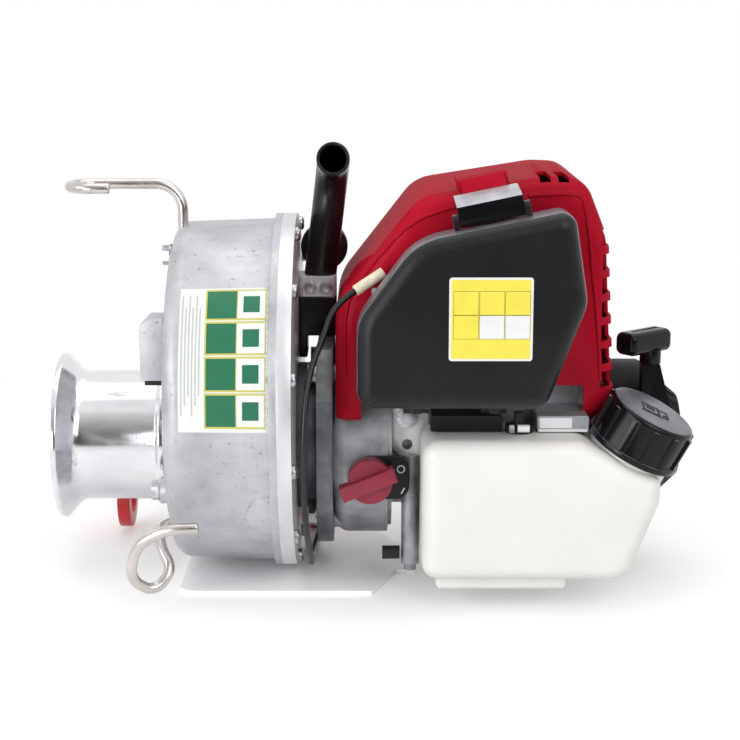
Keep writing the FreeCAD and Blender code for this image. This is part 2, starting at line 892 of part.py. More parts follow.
def case_cover():
    lay_one, lay_two = train_places()[:2]
    x_back, x_cover = value(X_BACK), value(X_COVER)
    thick = value("cover_thick")
    centre = (0, value(CASE_Z))
    axis = (0, value(AXIS_Z))
    depth = value("lay_boss_depth")
    width = value("input_bearing_width")
    plate = rod((x_back, *centre), (1, 0, 0), thick, value(FLANGE))
    pair = 2.0 * width + value("bearing_step")
    input_boss = rod((x_cover - pair, *axis), (1, 0, 0), pair, value("input_bearing_radius + input_ring"))
    lay_boss = rod((x_back - depth, *lay_two), (1, 0, 0), depth, value("lay_bearing_radius + boss_ring"))
    stub_boss = rod((x_back - depth, *lay_one), (1, 0, 0), depth, value("stub_radius + boss_ring"))
    bores = [rod((x_cover - pair, *axis), (1, 0, 0), pair, value("input_bearing_radius")),
             rod((x_back - depth, *lay_two), (1, 0, 0), depth, value("lay_bearing_radius")),
             rod((x_back - depth, *lay_one), (1, 0, 0), depth + thick / 2.0, value("stub_radius"))]
    for y, z in screw_circle():
        bores.append(rod((x_back - OVER, y, z), (1, 0, 0), thick + 2.0 * OVER,
                         value("cover_screw_radius + seat_gap")))
    solid_feature("case_cover", plate.fuse([input_boss, lay_boss, stub_boss]).cut(bores).removeSplitter())


def screw_circle():
    count = int(value("cover_screw_count"))
    reach = value(f"{FLANGE} - cover_head_radius - 1")
    for k in range(count):
        angle = 2.0 * math.pi * (k + 0.5) / count
        yield reach * math.cos(angle), value(CASE_Z) + reach * math.sin(angle)


def cover_screws():
    screws = []
    for y, z in screw_circle():
        tall = value("cover_head_height")
        head = rod((value(X_COVER), y, z), (1, 0, 0), tall, value("cover_head_radius"))
        head = head.makeFillet(0.6 * tall, edges_at(head, "x", value(X_COVER) + tall))
        grip = value("cover_thick + flange_thick")
        shank = rod((value(X_COVER) - grip, y, z), (1, 0, 0), grip, value("cover_screw_radius"))
        screws.append(head.fuse(shank))
    solid_feature("cover_screws", Part.makeCompound(screws))


def drum():
    body = new_body("capstan_drum", z=AXIS_Z)
    web_left = f"({X_RIM} + web_inset)"
    web_right = f"({web_left} + web_thick)"
    hub_left = f"({web_left} - hub_step)"
    inner = "(drum_radius - drum_wall)"
    flare_end = f"({X_RIM} + flare_length)"
    ridge = "(drum_radius + ridge_height)"
    revolve(body, (X_RIM, "rim_radius - rim_lip"), (X_RIM, "rim_radius"),
            (f"{X_RIM} + rim_lip", "rim_radius"), (flare_end, "drum_radius"),
            (f"{X_DRUM} - ridge_width - ridge_height", "drum_radius"), (f"{X_DRUM} - ridge_width", ridge),
            (X_DRUM, ridge), (X_DRUM, inner), (web_right, inner), (web_right, "hub_radius"),
            (f"{hub_left} + hub_length", "hub_radius"), (f"{hub_left} + hub_length", "shaft_radius"),
            (hub_left, "shaft_radius"), (hub_left, "hub_radius"), (web_left, "hub_radius"),
            (web_left, inner), (f"{flare_end} + rim_lip / 3", inner))
    barrel_end, barrel = value(flare_end), value("drum_radius")
    round_edges(body, "flare_round", lambda edge: abs(edge.CenterOfMass.x - barrel_end) < 1e-3
                and abs(getattr(edge.Curve, "Radius", 0.0) - barrel) < 1e-3)
    left = value(hub_left)
    axis = (0, value(AXIS_Z))
    shaft_end = left + value("shaft_recess")
    shaft = rod((shaft_end, *axis), (1, 0, 0), value(f"{X_SECOND} - gear_gap") - shaft_end,
                value("shaft_radius"))
    thread = rod((shaft_end, *axis), (1, 0, 0), value("bolt_bore"), value("bolt_radius"))
    solid_feature("output_shaft", shaft.cut(thread))
    thick = value("drum_washer")
    washer = rod((left - thick, *axis), (1, 0, 0), thick, value("hub_radius - rim_lip"))
    head = hexagon((left - thick, *axis), (-1, 0, 0), value("bolt_head"), value("bolt_across"))
    shank = rod((left - thick, *axis), (1, 0, 0), value("bolt_shank"), value("bolt_radius"))
    solid_feature("drum_bolt", washer.fuse([head, shank]).removeSplitter())


def bearings():
    width, fit = "bearing_width", "shaft_radius + running_fit"
    axis = (0, value(AXIS_Z))
    rings = []
    for start in (f"{X_BOSS} + seal_width", f"{X_INSIDE} - {width}"):
        outer = rod((value(start), *axis), (1, 0, 0), value(width), value("bearing_radius"))
        rings.append(outer.cut(rod((value(start), *axis), (1, 0, 0), value(width), value(fit))))
    solid_feature("drum_bearings", Part.makeCompound(rings))
    seal = rod((value(X_BOSS), *axis), (1, 0, 0), value("seal_width"), value("bearing_radius"))
    seal = seal.cut(rod((value(X_BOSS), *axis), (1, 0, 0), value("seal_width"), value(fit)))
    solid_feature("shaft_seal", seal)
    rings = []
    wide = value("input_bearing_width")
    for start in (value(X_COVER) - wide, value(X_COVER) - 2.0 * wide - value("bearing_step")):
        outer = rod((start, *axis), (1, 0, 0), wide, value("input_bearing_radius"))
        rings.append(outer.cut(rod((start, *axis), (1, 0, 0), wide, value("input_radius + running_fit"))))
    lay_two = train_places()[1]
    wide = value("lay_bearing_width")
    for start in (value(X_INSIDE) - wide, value(X_BACK) - value("lay_boss_depth")):
        outer = rod((start, *lay_two), (1, 0, 0), wide, value("lay_bearing_radius"))
        rings.append(outer.cut(rod((start, *lay_two), (1, 0, 0), wide, value("lay_radius + running_fit"))))
    solid_feature("train_bearings", Part.makeCompound(rings))


def gear_train():
    lay_one, lay_two, first_angle, second_angle = train_places()
    axis = (0.0, value(AXIS_Z))
    pinion, gear, first = value("pinion_teeth"), value("gear_teeth"), value("first_gear_teeth")
    one, two, three = value(X_FIRST), value(X_SECOND), value(X_THIRD)
    wide_one, wide_two, wide_three = value("first_width"), value("second_width"), value("third_width")
    between = math.atan2(lay_two[1] - lay_one[1], lay_two[0] - lay_one[0])
    short, full = 0.85, 1.0

    input_end = value(f"{X_COVER} + bell_gap + bell_hub_length")
    shaft = rod((one - 1.0, *axis), (1, 0, 0), input_end - one + 1.0, value("input_radius"))
    teeth = toothed_wheel(pinion, value("first_module"), 0.0, full, (one - 1.0, *axis), wide_one + 2.0)
    solid_feature("input_shaft", shaft.fuse(teeth).removeSplitter())

    bore = value("stub_radius + running_fit")
    phase = mesh_phase(0.0, pinion, first, first_angle)
    wheel = toothed_wheel(first, value("first_module"), phase, short, (one, *lay_one), wide_one, bore)
    cluster = toothed_wheel(pinion, value("second_module"), 0.0, full, (two, *lay_one), one - two, bore)
    solid_feature("first_gear", wheel.fuse(cluster).removeSplitter())
    stub = rod((two + 0.5, *lay_one), (1, 0, 0), value(X_BACK) + value("cover_thick") / 2.0 - two - 0.5,
               value("stub_radius"))
    solid_feature("stub_axle", stub)

    phase = mesh_phase(0.0, pinion, gear, between)
    wheel = toothed_wheel(gear, value("second_module"), phase, short, (two, *lay_two), wide_two,
                          value("lay_radius"))
    solid_feature("second_gear", wheel)
    start = value(X_INSIDE) - value("lay_bearing_width") + 0.5
    end = value(X_BACK) - value("lay_boss_depth") + value("lay_bearing_width") + 1.0
    shaft = rod((start, *lay_two), (1, 0, 0), end - start, value("lay_radius"))
    teeth = toothed_wheel(pinion, value("third_module"), 0.0, full, (three, *lay_two), wide_three)
    solid_feature("lay_shaft", shaft.fuse(teeth).removeSplitter())

    phase = mesh_phase(0.0, pinion, gear, second_angle + math.pi)
    wheel = toothed_wheel(gear, value("third_module"), phase, short, (three, *axis), wide_three,
                          value("shaft_radius"))
    solid_feature("output_gear", wheel)


def clutch():
    ring("clutch_housing", X_COVER, "clutch_length", "clutch_radius", "clutch_radius - clutch_wall")
    body = new_body("clutch_drum", z=AXIS_Z)
    web = f"({X_COVER} + bell_gap)"
    outer, wall = "bell_radius", "bell_wall"
    rim, hub = f"{X_FACE} - bell_gap", "input_radius + bell_hub"
    revolve(body, (web, "input_radius"), (web, outer), (rim, outer), (rim, f"{outer} - {wall}"),
            (f"{web} + {wall}", f"{outer} - {wall}"), (f"{web} + {wall}", hub),
            (f"{web} + bell_hub_length", hub), (f"{web} + bell_hub_length", "input_radius"))
    axis = (0, value(AXIS_Z))
    reach = value("bell_radius - bell_wall - shoe_gap")
    start = value(f"{X_FACE} - bell_gap - shoe_thick")
    disc = rod((start, *axis), (1, 0, 0), value("shoe_thick"), reach)
    disc = disc.cut(rod((start, *axis), (1, 0, 0), value("shoe_thick"), value("crank_radius + seat_gap")))
    split = value("shoe_slot / 2")
    slot = box((start, -split, axis[1] - reach), (start + value("shoe_thick"), split, axis[1] + reach))
    halves = disc.cut(slot)
    solid_feature("clutch_shoes", Part.makeCompound(halves.Solids))


def mount_seats():
    """Where the four engine bolts stand, in Y and Z."""
    wide, tall, axis_z = value("mount_bolt_side"), value("mount_bolt_rise"), value(AXIS_Z)
    return [(side * wide, axis_z + up * tall) for side in (-1, 1) for up in (-1, 1)]


def mount_plate():
    body = new_body("engine_plate", z=AXIS_Z)
    half, tall = "mount_half", "fan_case_radius"
    knee, top = "mount_knee", "mount_top"
    side, rise = "mount_bolt_side", "mount_bolt_rise"
    holes = [circle("m_six_radius", f"{a}{side}", f"{b}{rise}") for a in ("", "-") for b in ("", "-")]
    pad(body, "YZ_Plane", X_MOUNT, "mount_thick", polygon(
        (f"-{half}", f"-{knee}"), (f"-{top}", f"-{tall}"), (top, f"-{tall}"), (half, f"-{knee}"),
        (half, knee), (top, tall), (f"-{top}", tall), (f"-{half}", knee)),
        circle("clutch_radius - clutch_wall"), *holes)


def face_seats():
    """Where the three bolts on the case's drum side stand."""
    front, case_z = value(X_FRONT), value(CASE_Z)
    seats = []
    for inset, turn, rise in (("high_bolt_inset", "high_bolt_angle", 0.0),
                              ("low_bolt_inset", "low_bolt_angle", value("face_boss_rise")),
                              ("low_bolt_inset", "far_bolt_angle", value("face_boss_rise"))):
        reach, angle = value("case_radius") - value(inset), math.radians(value(turn))
        seats.append((front - rise, reach * math.cos(angle), case_z + reach * math.sin(angle)))
    return seats


def bracket_bolt():
    """Where the side bracket's bolt stands."""
    return bracket_x(), bracket_face(), value(AXIS_Z) + value("side_bolt_rise")


def clamp_seats():
    """Where the two small bolts of the handle bracket stand."""
    foot = handle_foot()
    low = foot.z - value("clamp_bolt_drop")
    middle, side = foot.x - value("clamp_bolt_shift"), value("clamp_bolt_side")
    return [(x, foot.y - value("bracket_half"), low) for x in (middle - side, middle + side)]


def hex_bolts():
    """The hexagon bolts of the case's face, the engine plate, the side bracket and the handle."""
    radius, grip = value("m_six_radius"), value("bolt_grip")
    bolts = [hex_bolt(seat, (-1, 0, 0), radius, grip) for seat in face_seats()]
    through = value("mount_thick") + grip
    bolts += [hex_bolt((value(X_MOUNT), *seat), (-1, 0, 0), radius, through) for seat in mount_seats()]
    bolts.append(hex_bolt(bracket_bolt(), (0, -1, 0), radius, value("sheet_thick") + grip))
    bolts += [hex_bolt(seat, (0, -1, 0), value("m_four_radius"), grip, False) for seat in clamp_seats()]
    solid_feature("hex_bolts", Part.makeCompound(bolts))


def socket_place():
    """The upper guide's socket on the case: its X, its Y and the height of its floor."""
    return (value(X_FRONT) + value("socket_inset"), -value("socket_side"),
            value(CASE_Z) + value("case_radius") - value("socket_depth"))


def loop_seat():
    """Where the lower guide goes into the case's face, in Y and Z."""
    reach, angle = value("case_radius - loop_inset"), math.radians(value("loop_angle"))
    return -reach * math.cos(angle), value(CASE_Z) - reach * math.sin(angle)


def rope_hardware():
    x = value(X_FRONT)
    rod_r = value("rod_radius")
    socket_x, socket_y, low = socket_place()
    high = low + value("socket_depth") + value("guide_height")
    left = socket_x - value("guide_reach")
    turn = value("guide_turn")
    near = socket_y - 2.0 * turn
    path = route([(socket_x, socket_y, low), (socket_x, socket_y, high), (left, socket_y, high),
                  (left, near, high), (left + value("guide_return"), near, high)],
                 [value("guide_bend"), turn, turn])
    solid_feature("upper_rope_guide", tube(path, rod_r))
    seat_y, seat_z = loop_seat()
    steps = [(value("bolt_grip"), 0.0, 0.0), (-6.0, 0.0, 0.0), (-4.5, -13.5, -8.4), (3.5, -22.4, -19.4),
             (-6.0, -28.4, -30.4), (-18.5, -33.4, -21.4), (-15.0, -37.4, -1.4), (2.0, -40.4, 9.1),
             (20.0, -40.4, 10.1)]
    loop = [(x + along, seat_y + out, seat_z + up) for along, out, up in steps]
    path = route(loop, cord_bends(loop))
    solid_feature("lower_rope_guide", tube(path, rod_r))
    deep, wide, tall = value("block_depth"), value("block_width"), value("block_height")
    y, z = -value("block_side"), value(AXIS_Z) + value("block_rise")
    block = box((x - deep, y, z), (x, y + wide, z + tall))
    top_edges = [edge for edge in edges_at(block, "z", z + tall) if edge.CenterOfMass.x < x - 0.9 * deep]
    block = block.makeChamfer(value("block_chamfer"), top_edges)
    solid_feature("rope_block", block)
    step = value("pad_step")
    under = box((x - deep + step, y + step, z - value("pad_height")), (x, y + wide - step, z))
    solid_feature("block_pad", under)


def hook_shape(left, y, z):
    """A forged hook hanging from its eye, with its mouth on the far side."""
    thick, bow = value("hook_thick"), value("hook_bow")
    bar, drop = value("hook_bar"), value("hook_drop")
    bowl = (left, y, z - drop)
    outer = rod(bowl, (1, 0, 0), thick, bow + bar)
    inner = rod(bowl, (1, 0, 0), thick, bow)
    reach = bow + bar + OVER
    mouth = box((left, y, z - drop), (left + thick, y + reach, z - drop + reach))
    shank = box((left, y - bow - bar, z - drop), (left + thick, y - bow, z))
    head = rod((left, y, z), (1, 0, 0), thick, value("hook_eye"))
    corner = box((left, y - bow - bar, z), (left + thick, y, z + value("hook_eye")))
    shank = shank.fuse(box((left, y - bow - bar, z - value("hook_eye")), (left + thick, y, z)))
    hook = outer.cut([inner, mouth]).fuse([shank.cut(inner), head]).cut(corner.cut(head))
    eye = rod((left, y, z), (1, 0, 0), thick, value("post_radius + running_fit"))
    return hook.cut(eye).removeSplitter()


def anchor():
    """Two posts, one on each face of the case, each with a swinging anchor hook."""
    y, z = value("post_out"), value(AXIS_Z) - value("post_drop")
    radius, thick, play = value("post_radius"), value("hook_thick"), value("hook_play")
    front, cover = value(X_FRONT), value(X_COVER)
    front_left = front - value("front_post_length") - thick
    rear_left = cover + value("cover_head_height") + value("seat_gap")
    collar = value("collar_thick")
    posts = []
    for left, seat, side in ((front_left, front, -1), (rear_left, cover, 1)):
        far = left - play if side < 0 else left + thick + play
        near = left + thick + play if side < 0 else left - play
        post = rod((min(far, seat), y, z), (1, 0, 0), abs(far - seat), radius)
        end = rod((far, y, z), (side, 0, 0), collar, radius + value("collar_step"))
        shoulder = rod((near, y, z), (-side, 0, 0), abs(near - seat), radius + value("shoulder_step"))
        posts.append(post.fuse([end, shoulder]).removeSplitter())
    solid_feature("anchor_posts", Part.makeCompound(posts))
    solid_feature("front_hook", hook_shape(front_left, y, z))
    solid_feature("rear_hook", hook_shape(rear_left, y, z))


def handle_foot():
    """The middle of the handle tube's lower end."""
    x, z = value(X_COVER) + value("handle_stand"), value(AXIS_Z) + value("handle_rise")
    return Vector(x, value("handle_back"), z)


def handle():
    foot = handle_foot()
    top = foot + Vector(value("handle_lean"), 0, value("handle_height"))
    end = top + Vector(value("handle_side"), -value("handle_reach"), value("handle_tip"))
    sunk = foot + (foot - top).normalize() * value("tube_sink")
    path = route([tuple(sunk), tuple(top), tuple(end)], [value("handle_bend")])
    radius = value("tube_radius")
    inner = tube(path, value("tube_radius - tube_wall"))
    below = box((foot.x - 2.0 * radius, foot.y - 2.0 * radius, foot.z - 2.0 * radius),
                (foot.x + 2.0 * radius, foot.y + 2.0 * radius, foot.z))
    solid_feature("handle_tube", tube(path, radius).cut([inner, below]))
    half, cover = value("bracket_half"), value(X_COVER)
    right = foot.x + value("tube_radius")
    low = value(AXIS_Z) + value("fan_case_radius") + value("bracket_clear")
    clamp_low = foot.z - value("clamp_height")
    block = box((cover, foot.y - half, low), (right, foot.y + half, clamp_low))
    clamp = box((cover, foot.y - half, clamp_low), (right, foot.y + half, foot.z))
    corners = [edge for edge in clamp.Edges if abs(edge.tangentAt(edge.FirstParameter).z) > 0.9]
    clamp = clamp.makeFillet(value("clamp_round"), corners)
    flange = box((cover, foot.y - half, low - value("bracket_flange")),
                 (cover + value("bracket_sheet"), foot.y + half, low))
    grip, radius = value("bolt_grip"), value("m_four_radius")
    holes = [rod(seat, (0, 1, 0), grip, radius) for seat in clamp_seats()]
    solid_feature("handle_clamp", clamp.cut(holes).removeSplitter())
    solid_feature("handle_bracket", block.fuse(flange).removeSplitter())


def control_place():
    """The middle of the throttle control's near face."""
    foot = handle_foot()
    return foot + Vector(value("control_shift"), value("tube_radius + seat_gap"), value("control_rise"))


def throttle_control():
    """A round control behind the handle tube, with its lever on the far side."""
    centre = control_place()
    depth, thick, pivot = value("control_depth"), value("lever_thick"), value("lever_pivot")
    body = rod(tuple(centre), (0, 1, 0), depth, value("control_radius"))
    pin = rod((centre.x, centre.y + depth, centre.z), (0, 1, 0), thick + 2.0 * value("seat_gap"), pivot)
    solid_feature("throttle_body", body.fuse(pin).removeSplitter())
    back = centre.y + depth + value("seat_gap")
    half = value("lever_half")
    hub = rod((centre.x, back, centre.z), (0, 1, 0), thick, value("lever_hub"))
    arm = box((centre.x - half, back, centre.z),
              (centre.x + half, back + thick, centre.z + value("lever_length")))
    arm.rotate(centre, Vector(0, 1, 0), value("lever_rest"))
    bore = rod((centre.x, back, centre.z), (0, 1, 0), thick, pivot + value("running_fit"))
    solid_feature("throttle_lever", hub.fuse(arm).cut(bore).removeSplitter())


def crankcase():
    body = new_body("crankcase_turned", z=AXIS_Z)
    deep = f"({X_FACE} + fan_case_depth)"
    bore, mouth = "crank_radius + running_fit", "fan_case_radius - fan_case_wall"
    flange = "crankcase_back - back_flange"
    revolve(body, (X_FACE, mouth), (X_FACE, "fan_case_radius"), (deep, "fan_case_radius"),
            (f"{deep} + fan_case_taper", "crankcase_radius"), (flange, "crankcase_radius"),
            (flange, "recoil_radius"), ("crankcase_back", "recoil_radius"),
            ("crankcase_back", bore), (f"{deep} - fan_case_floor", bore), (f"{deep} - fan_case_floor", mouth))
    face, rim = value(X_FACE), value("fan_case_radius")
    round_edges(body, "fan_case_round", lambda edge: abs(edge.CenterOfMass.x - face) < 1e-3
                and getattr(edge.Curve, "Radius", 0.0) > rim - 1.0)
    DOC.recompute()
    axis_z, inside = value(AXIS_Z), value("crankcase_radius / 2")
    radius, grip = value("m_six_radius"), value("bolt_grip")
    boss = value("boss_radius")
    added = [rod((face, *seat), (1, 0, 0), value("mount_boss_length"), boss) for seat in mount_seats()]
    holes = [rod((face, *seat), (1, 0, 0), grip, radius) for seat in mount_seats()]
    middle, half = value("cylinder_x"), value("deck_half")
    added.append(box((middle - half, -half, axis_z + inside), (middle + half, half, value(DECK_Z))))
    for x in (value("first_foot"), value("second_foot")):
        added.append(rod((x, 0, value(TANK_FLOOR)), (0, 0, 1), axis_z - inside - value(TANK_FLOOR), boss))
    added.append(box((value("side_pad_left"), -value("side_pad_out"), axis_z + value("side_pad_low")),
                     (value("side_pad_right"), -value("side_pad_in"), axis_z + value("side_pad_high"))))
    x, y, z = bracket_bolt()
    back = y + value("sheet_thick")
    added.append(rod((x, back, z), (0, 1, 0), -back - inside, boss))
    holes.append(rod((x, back, z), (0, 1, 0), grip, radius))
    solid_feature("crankcase", body.Shape.fuse(added).cut(holes).removeSplitter())


def engine_inside():
    pitch, half, middle = value("fin_pitch"), value("fin_half"), value("cylinder_x")
    low, count = value(DECK_Z), int(value("fin_count"))
    top = low + count * pitch
    core = rod((middle, 0, low), (0, 0, 1), count * pitch, value("barrel_radius"))
    fins = [box((middle - half, -half, low + (k + 0.5) * pitch),
                (middle + half, half, low + (k + 0.5) * pitch + value("fin_thick"))) for k in range(count)]
    reach = value("plug_thread")
    hole = rod((middle, 0, top - reach), (0, 0, 1), reach, value("plug_radius"))
    solid_feature("cylinder", core.fuse(fins).cut(hole).removeSplitter())
    thread = rod((middle, 0, top - reach), (0, 0, 1), reach, value("plug_radius"))
    nut = hexagon((middle, 0, top), (0, 0, 1), value("plug_nut"), value("plug_across"))
    insulator = rod((middle, 0, top + value("plug_nut")), (0, 0, 1), value("plug_top"), value("plug_core"))
    solid_feature("spark_plug", thread.fuse([nut, insulator]).removeSplitter())
    fan = new_body("flywheel_turned", z=AXIS_Z)
    start = f"({X_FACE} + fan_gap)"
    hub = f"({FAN_RADIUS} - blade_height)"
    revolve(fan, (start, "crank_radius"), (start, hub), (f"{start} + blade_width", hub),
            (f"{start} + blade_width", FAN_RADIUS), (f"{start} + fan_width", FAN_RADIUS),
            (f"{start} + fan_width", "crank_radius"))
    DOC.recompute()
    tip = value(FAN_RADIUS)
    left = value(start)
    half, sink = value("blade_half"), value("blade_sink")
    blade = box((left, -half, tip - value("blade_height") - sink),
                (left + value("blade_width") + sink, half, tip - sink))
    count = int(value("fan_blades"))
    blades = []
    for k in range(count):
        copy = blade.copy()
        copy.rotate(Vector(0, 0, 0), Vector(1, 0, 0), 360.0 * k / count)
        copy.translate(Vector(0, 0, value(AXIS_Z)))
        blades.append(copy)
    solid_feature("flywheel", fan.Shape.fuse(blades).removeSplitter())
    start, end = value(X_FACE) - value("crank_stub"), value("crankcase_back + crank_tail")
    shaft = rod((start, 0, value(AXIS_Z)), (1, 0, 0), end - start, value("crank_radius"))
    solid_feature("crankshaft", shaft)


def shroud_corners():
    left = value(X_FACE) + value("shroud_inset")
    low, high, right = value(SHROUD_LOW), value(SHROUD_HIGH), value("shroud_right")
    cut, cut_round = value("shroud_corner"), value("shroud_corner_round")
    shoulder, slope = value("shroud_shoulder"), value("shroud_slope_run")
    return [(left, low, value("shroud_foot_round")),
            (right - cut, low, cut_round), (right, low + cut, cut_round),
            (right - value("shroud_lean"), high - value("shroud_side_drop"), value("shroud_side_round")),
            (right - shoulder, high - value("shroud_shoulder_drop"), value("shroud_shoulder_round")),
            (right - value("shroud_crest"), high, value("shroud_crest_round")),
            (left + slope, high - value("shroud_slope_drop"), value("shroud_slope_round")),
            (left, high - value("shroud_left_drop"), value("shroud_left_round"))]


def shroud():
    half, wall, edge_round = value("shroud_half"), value("shroud_wall"), value("shroud_round")
    corners = shroud_corners()
    low, right = value(SHROUD_LOW), value("shroud_right")
    outer = rounded_prism(corners, -half, half)
    rims = edges_at(outer, "y", -half) + edges_at(outer, "y", half)
    outer = outer.makeFillet(edge_round, [edge for edge in rims if edge.CenterOfMass.z > low + OVER])
    inner = rounded_prism(corners, -half + wall, half - wall, wall)
    rims = edges_at(inner, "y", -half + wall) + edges_at(inner, "y", half - wall)
    inner_rims = [edge for edge in rims if edge.CenterOfMass.z > low + wall + OVER]
    inner = inner.makeFillet(edge_round - wall, inner_rims)
    mouth = box((value(X_FACE), -half + wall, low - OVER),
                (right - value("mouth_margin"), half - wall, low + wall + OVER))
    catch, out = value("catch_half"), value("catch_out")
    boss = box((-catch, -half - out, -out), (catch, -half + value("catch_depth"), value("catch_rise")))
    shelf = catch - value("ledge_margin")
    foot, run, rise = catch_slope()
    ledge, under = value("ledge_rise"), value("ledge_rise - ledge_thick")
    crest = ledge + rise
    profile = [(foot, under), (foot, ledge), (foot + run, crest), (-half, crest), (-half, under)]
    points = [Vector(-shelf, y, z) for y, z in profile]
    ramp = Part.Face(Part.makePolygon(points + points[:1])).extrude(Vector(2.0 * shelf, 0, 0))
    shell = outer.fuse([on_latch_edge(boss), on_latch_edge(ramp)]).cut([inner, mouth])
    cuts = []
    reach, tall = value("louvre_reach"), value("louvre_height")
    for k in range(int(value("louvre_count"))):
        z = value(AXIS_Z) + value("louvre_start") + k * value("louvre_pitch")
        cuts.append(box((right - value("louvre_wrap"), -half - OVER, z),
                        (right + OVER, -half + reach, z + tall)))
    high, slot = value(SHROUD_HIGH), value("slot_width")
    near = -half + value("slot_near")
    for k in (0, 1):
        x = right - value("slot_inset") + k * value("slot_pitch")
        cuts.append(box((x, near, high - value("slot_depth")),
                        (x + slot, near + value("slot_length"), high + OVER)))
    cuts.append(box((-value("window_left"), -half - OVER, low - OVER),
                    (value("window_right"), -value("side_pad_out") - OVER, low + value("window_high"))))
    carb_x, carb_z, gap = value("carb_x"), value(CARB_Z), value("carb_clear")
    across = value("carb_half") + gap
    cuts.append(box((carb_x - across, -half - OVER, carb_z - across),
                    (carb_x + across, -half + value("carb_cut"), carb_z + across)))
    port_x, port_z = value("cylinder_x"), value(PORT_Z)
    wide, deep = value("port_half + port_clear"), value("port_rise_half + port_clear")
    cuts.append(box((port_x - wide, half - value("port_cut"), port_z - deep),
                    (port_x + wide, half + OVER, port_z + deep)))
    face, axis_z = value(X_FACE), value(AXIS_Z)
    taper = value("fan_case_depth + fan_case_taper")
    cuts.append(rod((face, 0, axis_z), (1, 0, 0), taper, value("fan_case_radius + seat_gap")))
    cuts.append(rod((face, 0, axis_z), (1, 0, 0), right + OVER - face, value("recoil_radius + seat_gap")))
    solid_feature("engine_shroud", shell.cut(cuts).removeSplitter())


def cleaner_corners():
    left, right = -value("cleaner_left"), value("cleaner_right")
    low, high = value(CLEANER_LOW), value(CLEANER_HIGH)
    corner, slope = value("cleaner_low_round"), value("cleaner_slope_run")
    return [(left, low, corner), (left, low + value("cleaner_left_rise"), value("cleaner_left_round")),
            (left + slope, high - value("cleaner_slope_drop"), value("cleaner_slope_round")),
            (right - value("cleaner_lean"), high, value("cleaner_tip_round")),
            (right, low + value("cleaner_right_rise"), value("cleaner_right_round")),
            (right - value("cleaner_right_taper"), low, corner)]


def latch_edge():
    """The latch's middle on the cover's sloping top edge, and the edge's slope in degrees."""
    (x_low, z_low, _), (x_high, z_high, _) = cleaner_corners()[2:4]
    x = value("latch_x")
    z = z_low + (x - x_low) * (z_high - z_low) / (x_high - x_low)
    return x, z, math.degrees(math.atan2(z_high - z_low, x_high - x_low))


def on_latch_edge(shape):
    """Move a shape drawn about the origin on to the cover's sloping top edge."""
    x, z, slope = latch_edge()
    turn = FreeCAD.Placement(Vector(x, 0, z), FreeCAD.Rotation(Vector(0, 1, 0), -slope))
    shape.Placement = turn.multiply(shape.Placement)
    return shape


def catch_slope():
    """The sloping face of the shroud's catch: the Y of its lower edge, its run in Y and its rise."""
    foot = -value("cleaner_back") + value("ledge_stand")
    return foot, -value("shroud_half") - value("catch_out") - foot, value("catch_rise - ledge_rise")


def hinge_places():
    """The two hinges' left ends, and the hinge line's Y and Z."""
    y = -value("cleaner_back") - value("cleaner_case_depth") / 2.0
    return (value("hinge_first"), value("hinge_second")), y, value(CLEANER_LOW) - value("hinge_drop")


def latch_pivot():
    return -value("cleaner_back + cleaner_case_depth") - value("latch_pivot_out"), value("latch_pivot_rise")


def cleaner_case():
    back, deep, wall = -value("cleaner_back"), value("cleaner_case_depth"), value("cleaner_wall")
    step = value("cleaner_step")
    corners = cleaner_corners()
    case = rounded_prism(corners, back - deep, back, step)
    case = case.cut(rounded_prism(corners, back - deep, back - wall, step + wall))
    inlet = rod((value("carb_x"), back - deep, value(CARB_Z)), (0, 1, 0), deep, value("throat_radius"))
    places, y, z = hinge_places()
    knuckle, lug = value("knuckle_radius"), value("lug_width")
    length, pin = value("hinge_length"), value("hinge_radius")
    low = value(CLEANER_LOW)
    lug_half = 0.75 * knuckle
    lugs, bores, pins = [], [], []
    for start in places:
        for x in (start, start + length - lug):
            lugs.append(rod((x, y, z), (1, 0, 0), lug, knuckle))
            lugs.append(box((x, y - lug_half, z), (x + lug, y + lug_half, low + step + wall / 2.0)))
        bores.append(rod((start, y, z), (1, 0, 0), length, pin))
        pins.append(rod((start, y, z), (1, 0, 0), length, pin))
    solid_feature("cleaner_case", case.fuse(lugs).cut(bores + [inlet]).removeSplitter())
    solid_feature("hinge_pins", Part.makeCompound(pins))
    depth = value("filter_depth")
    element = rounded_prism(corners, back - wall - depth, back - wall, value("filter_inset"))
    solid_feature("filter_element", element)


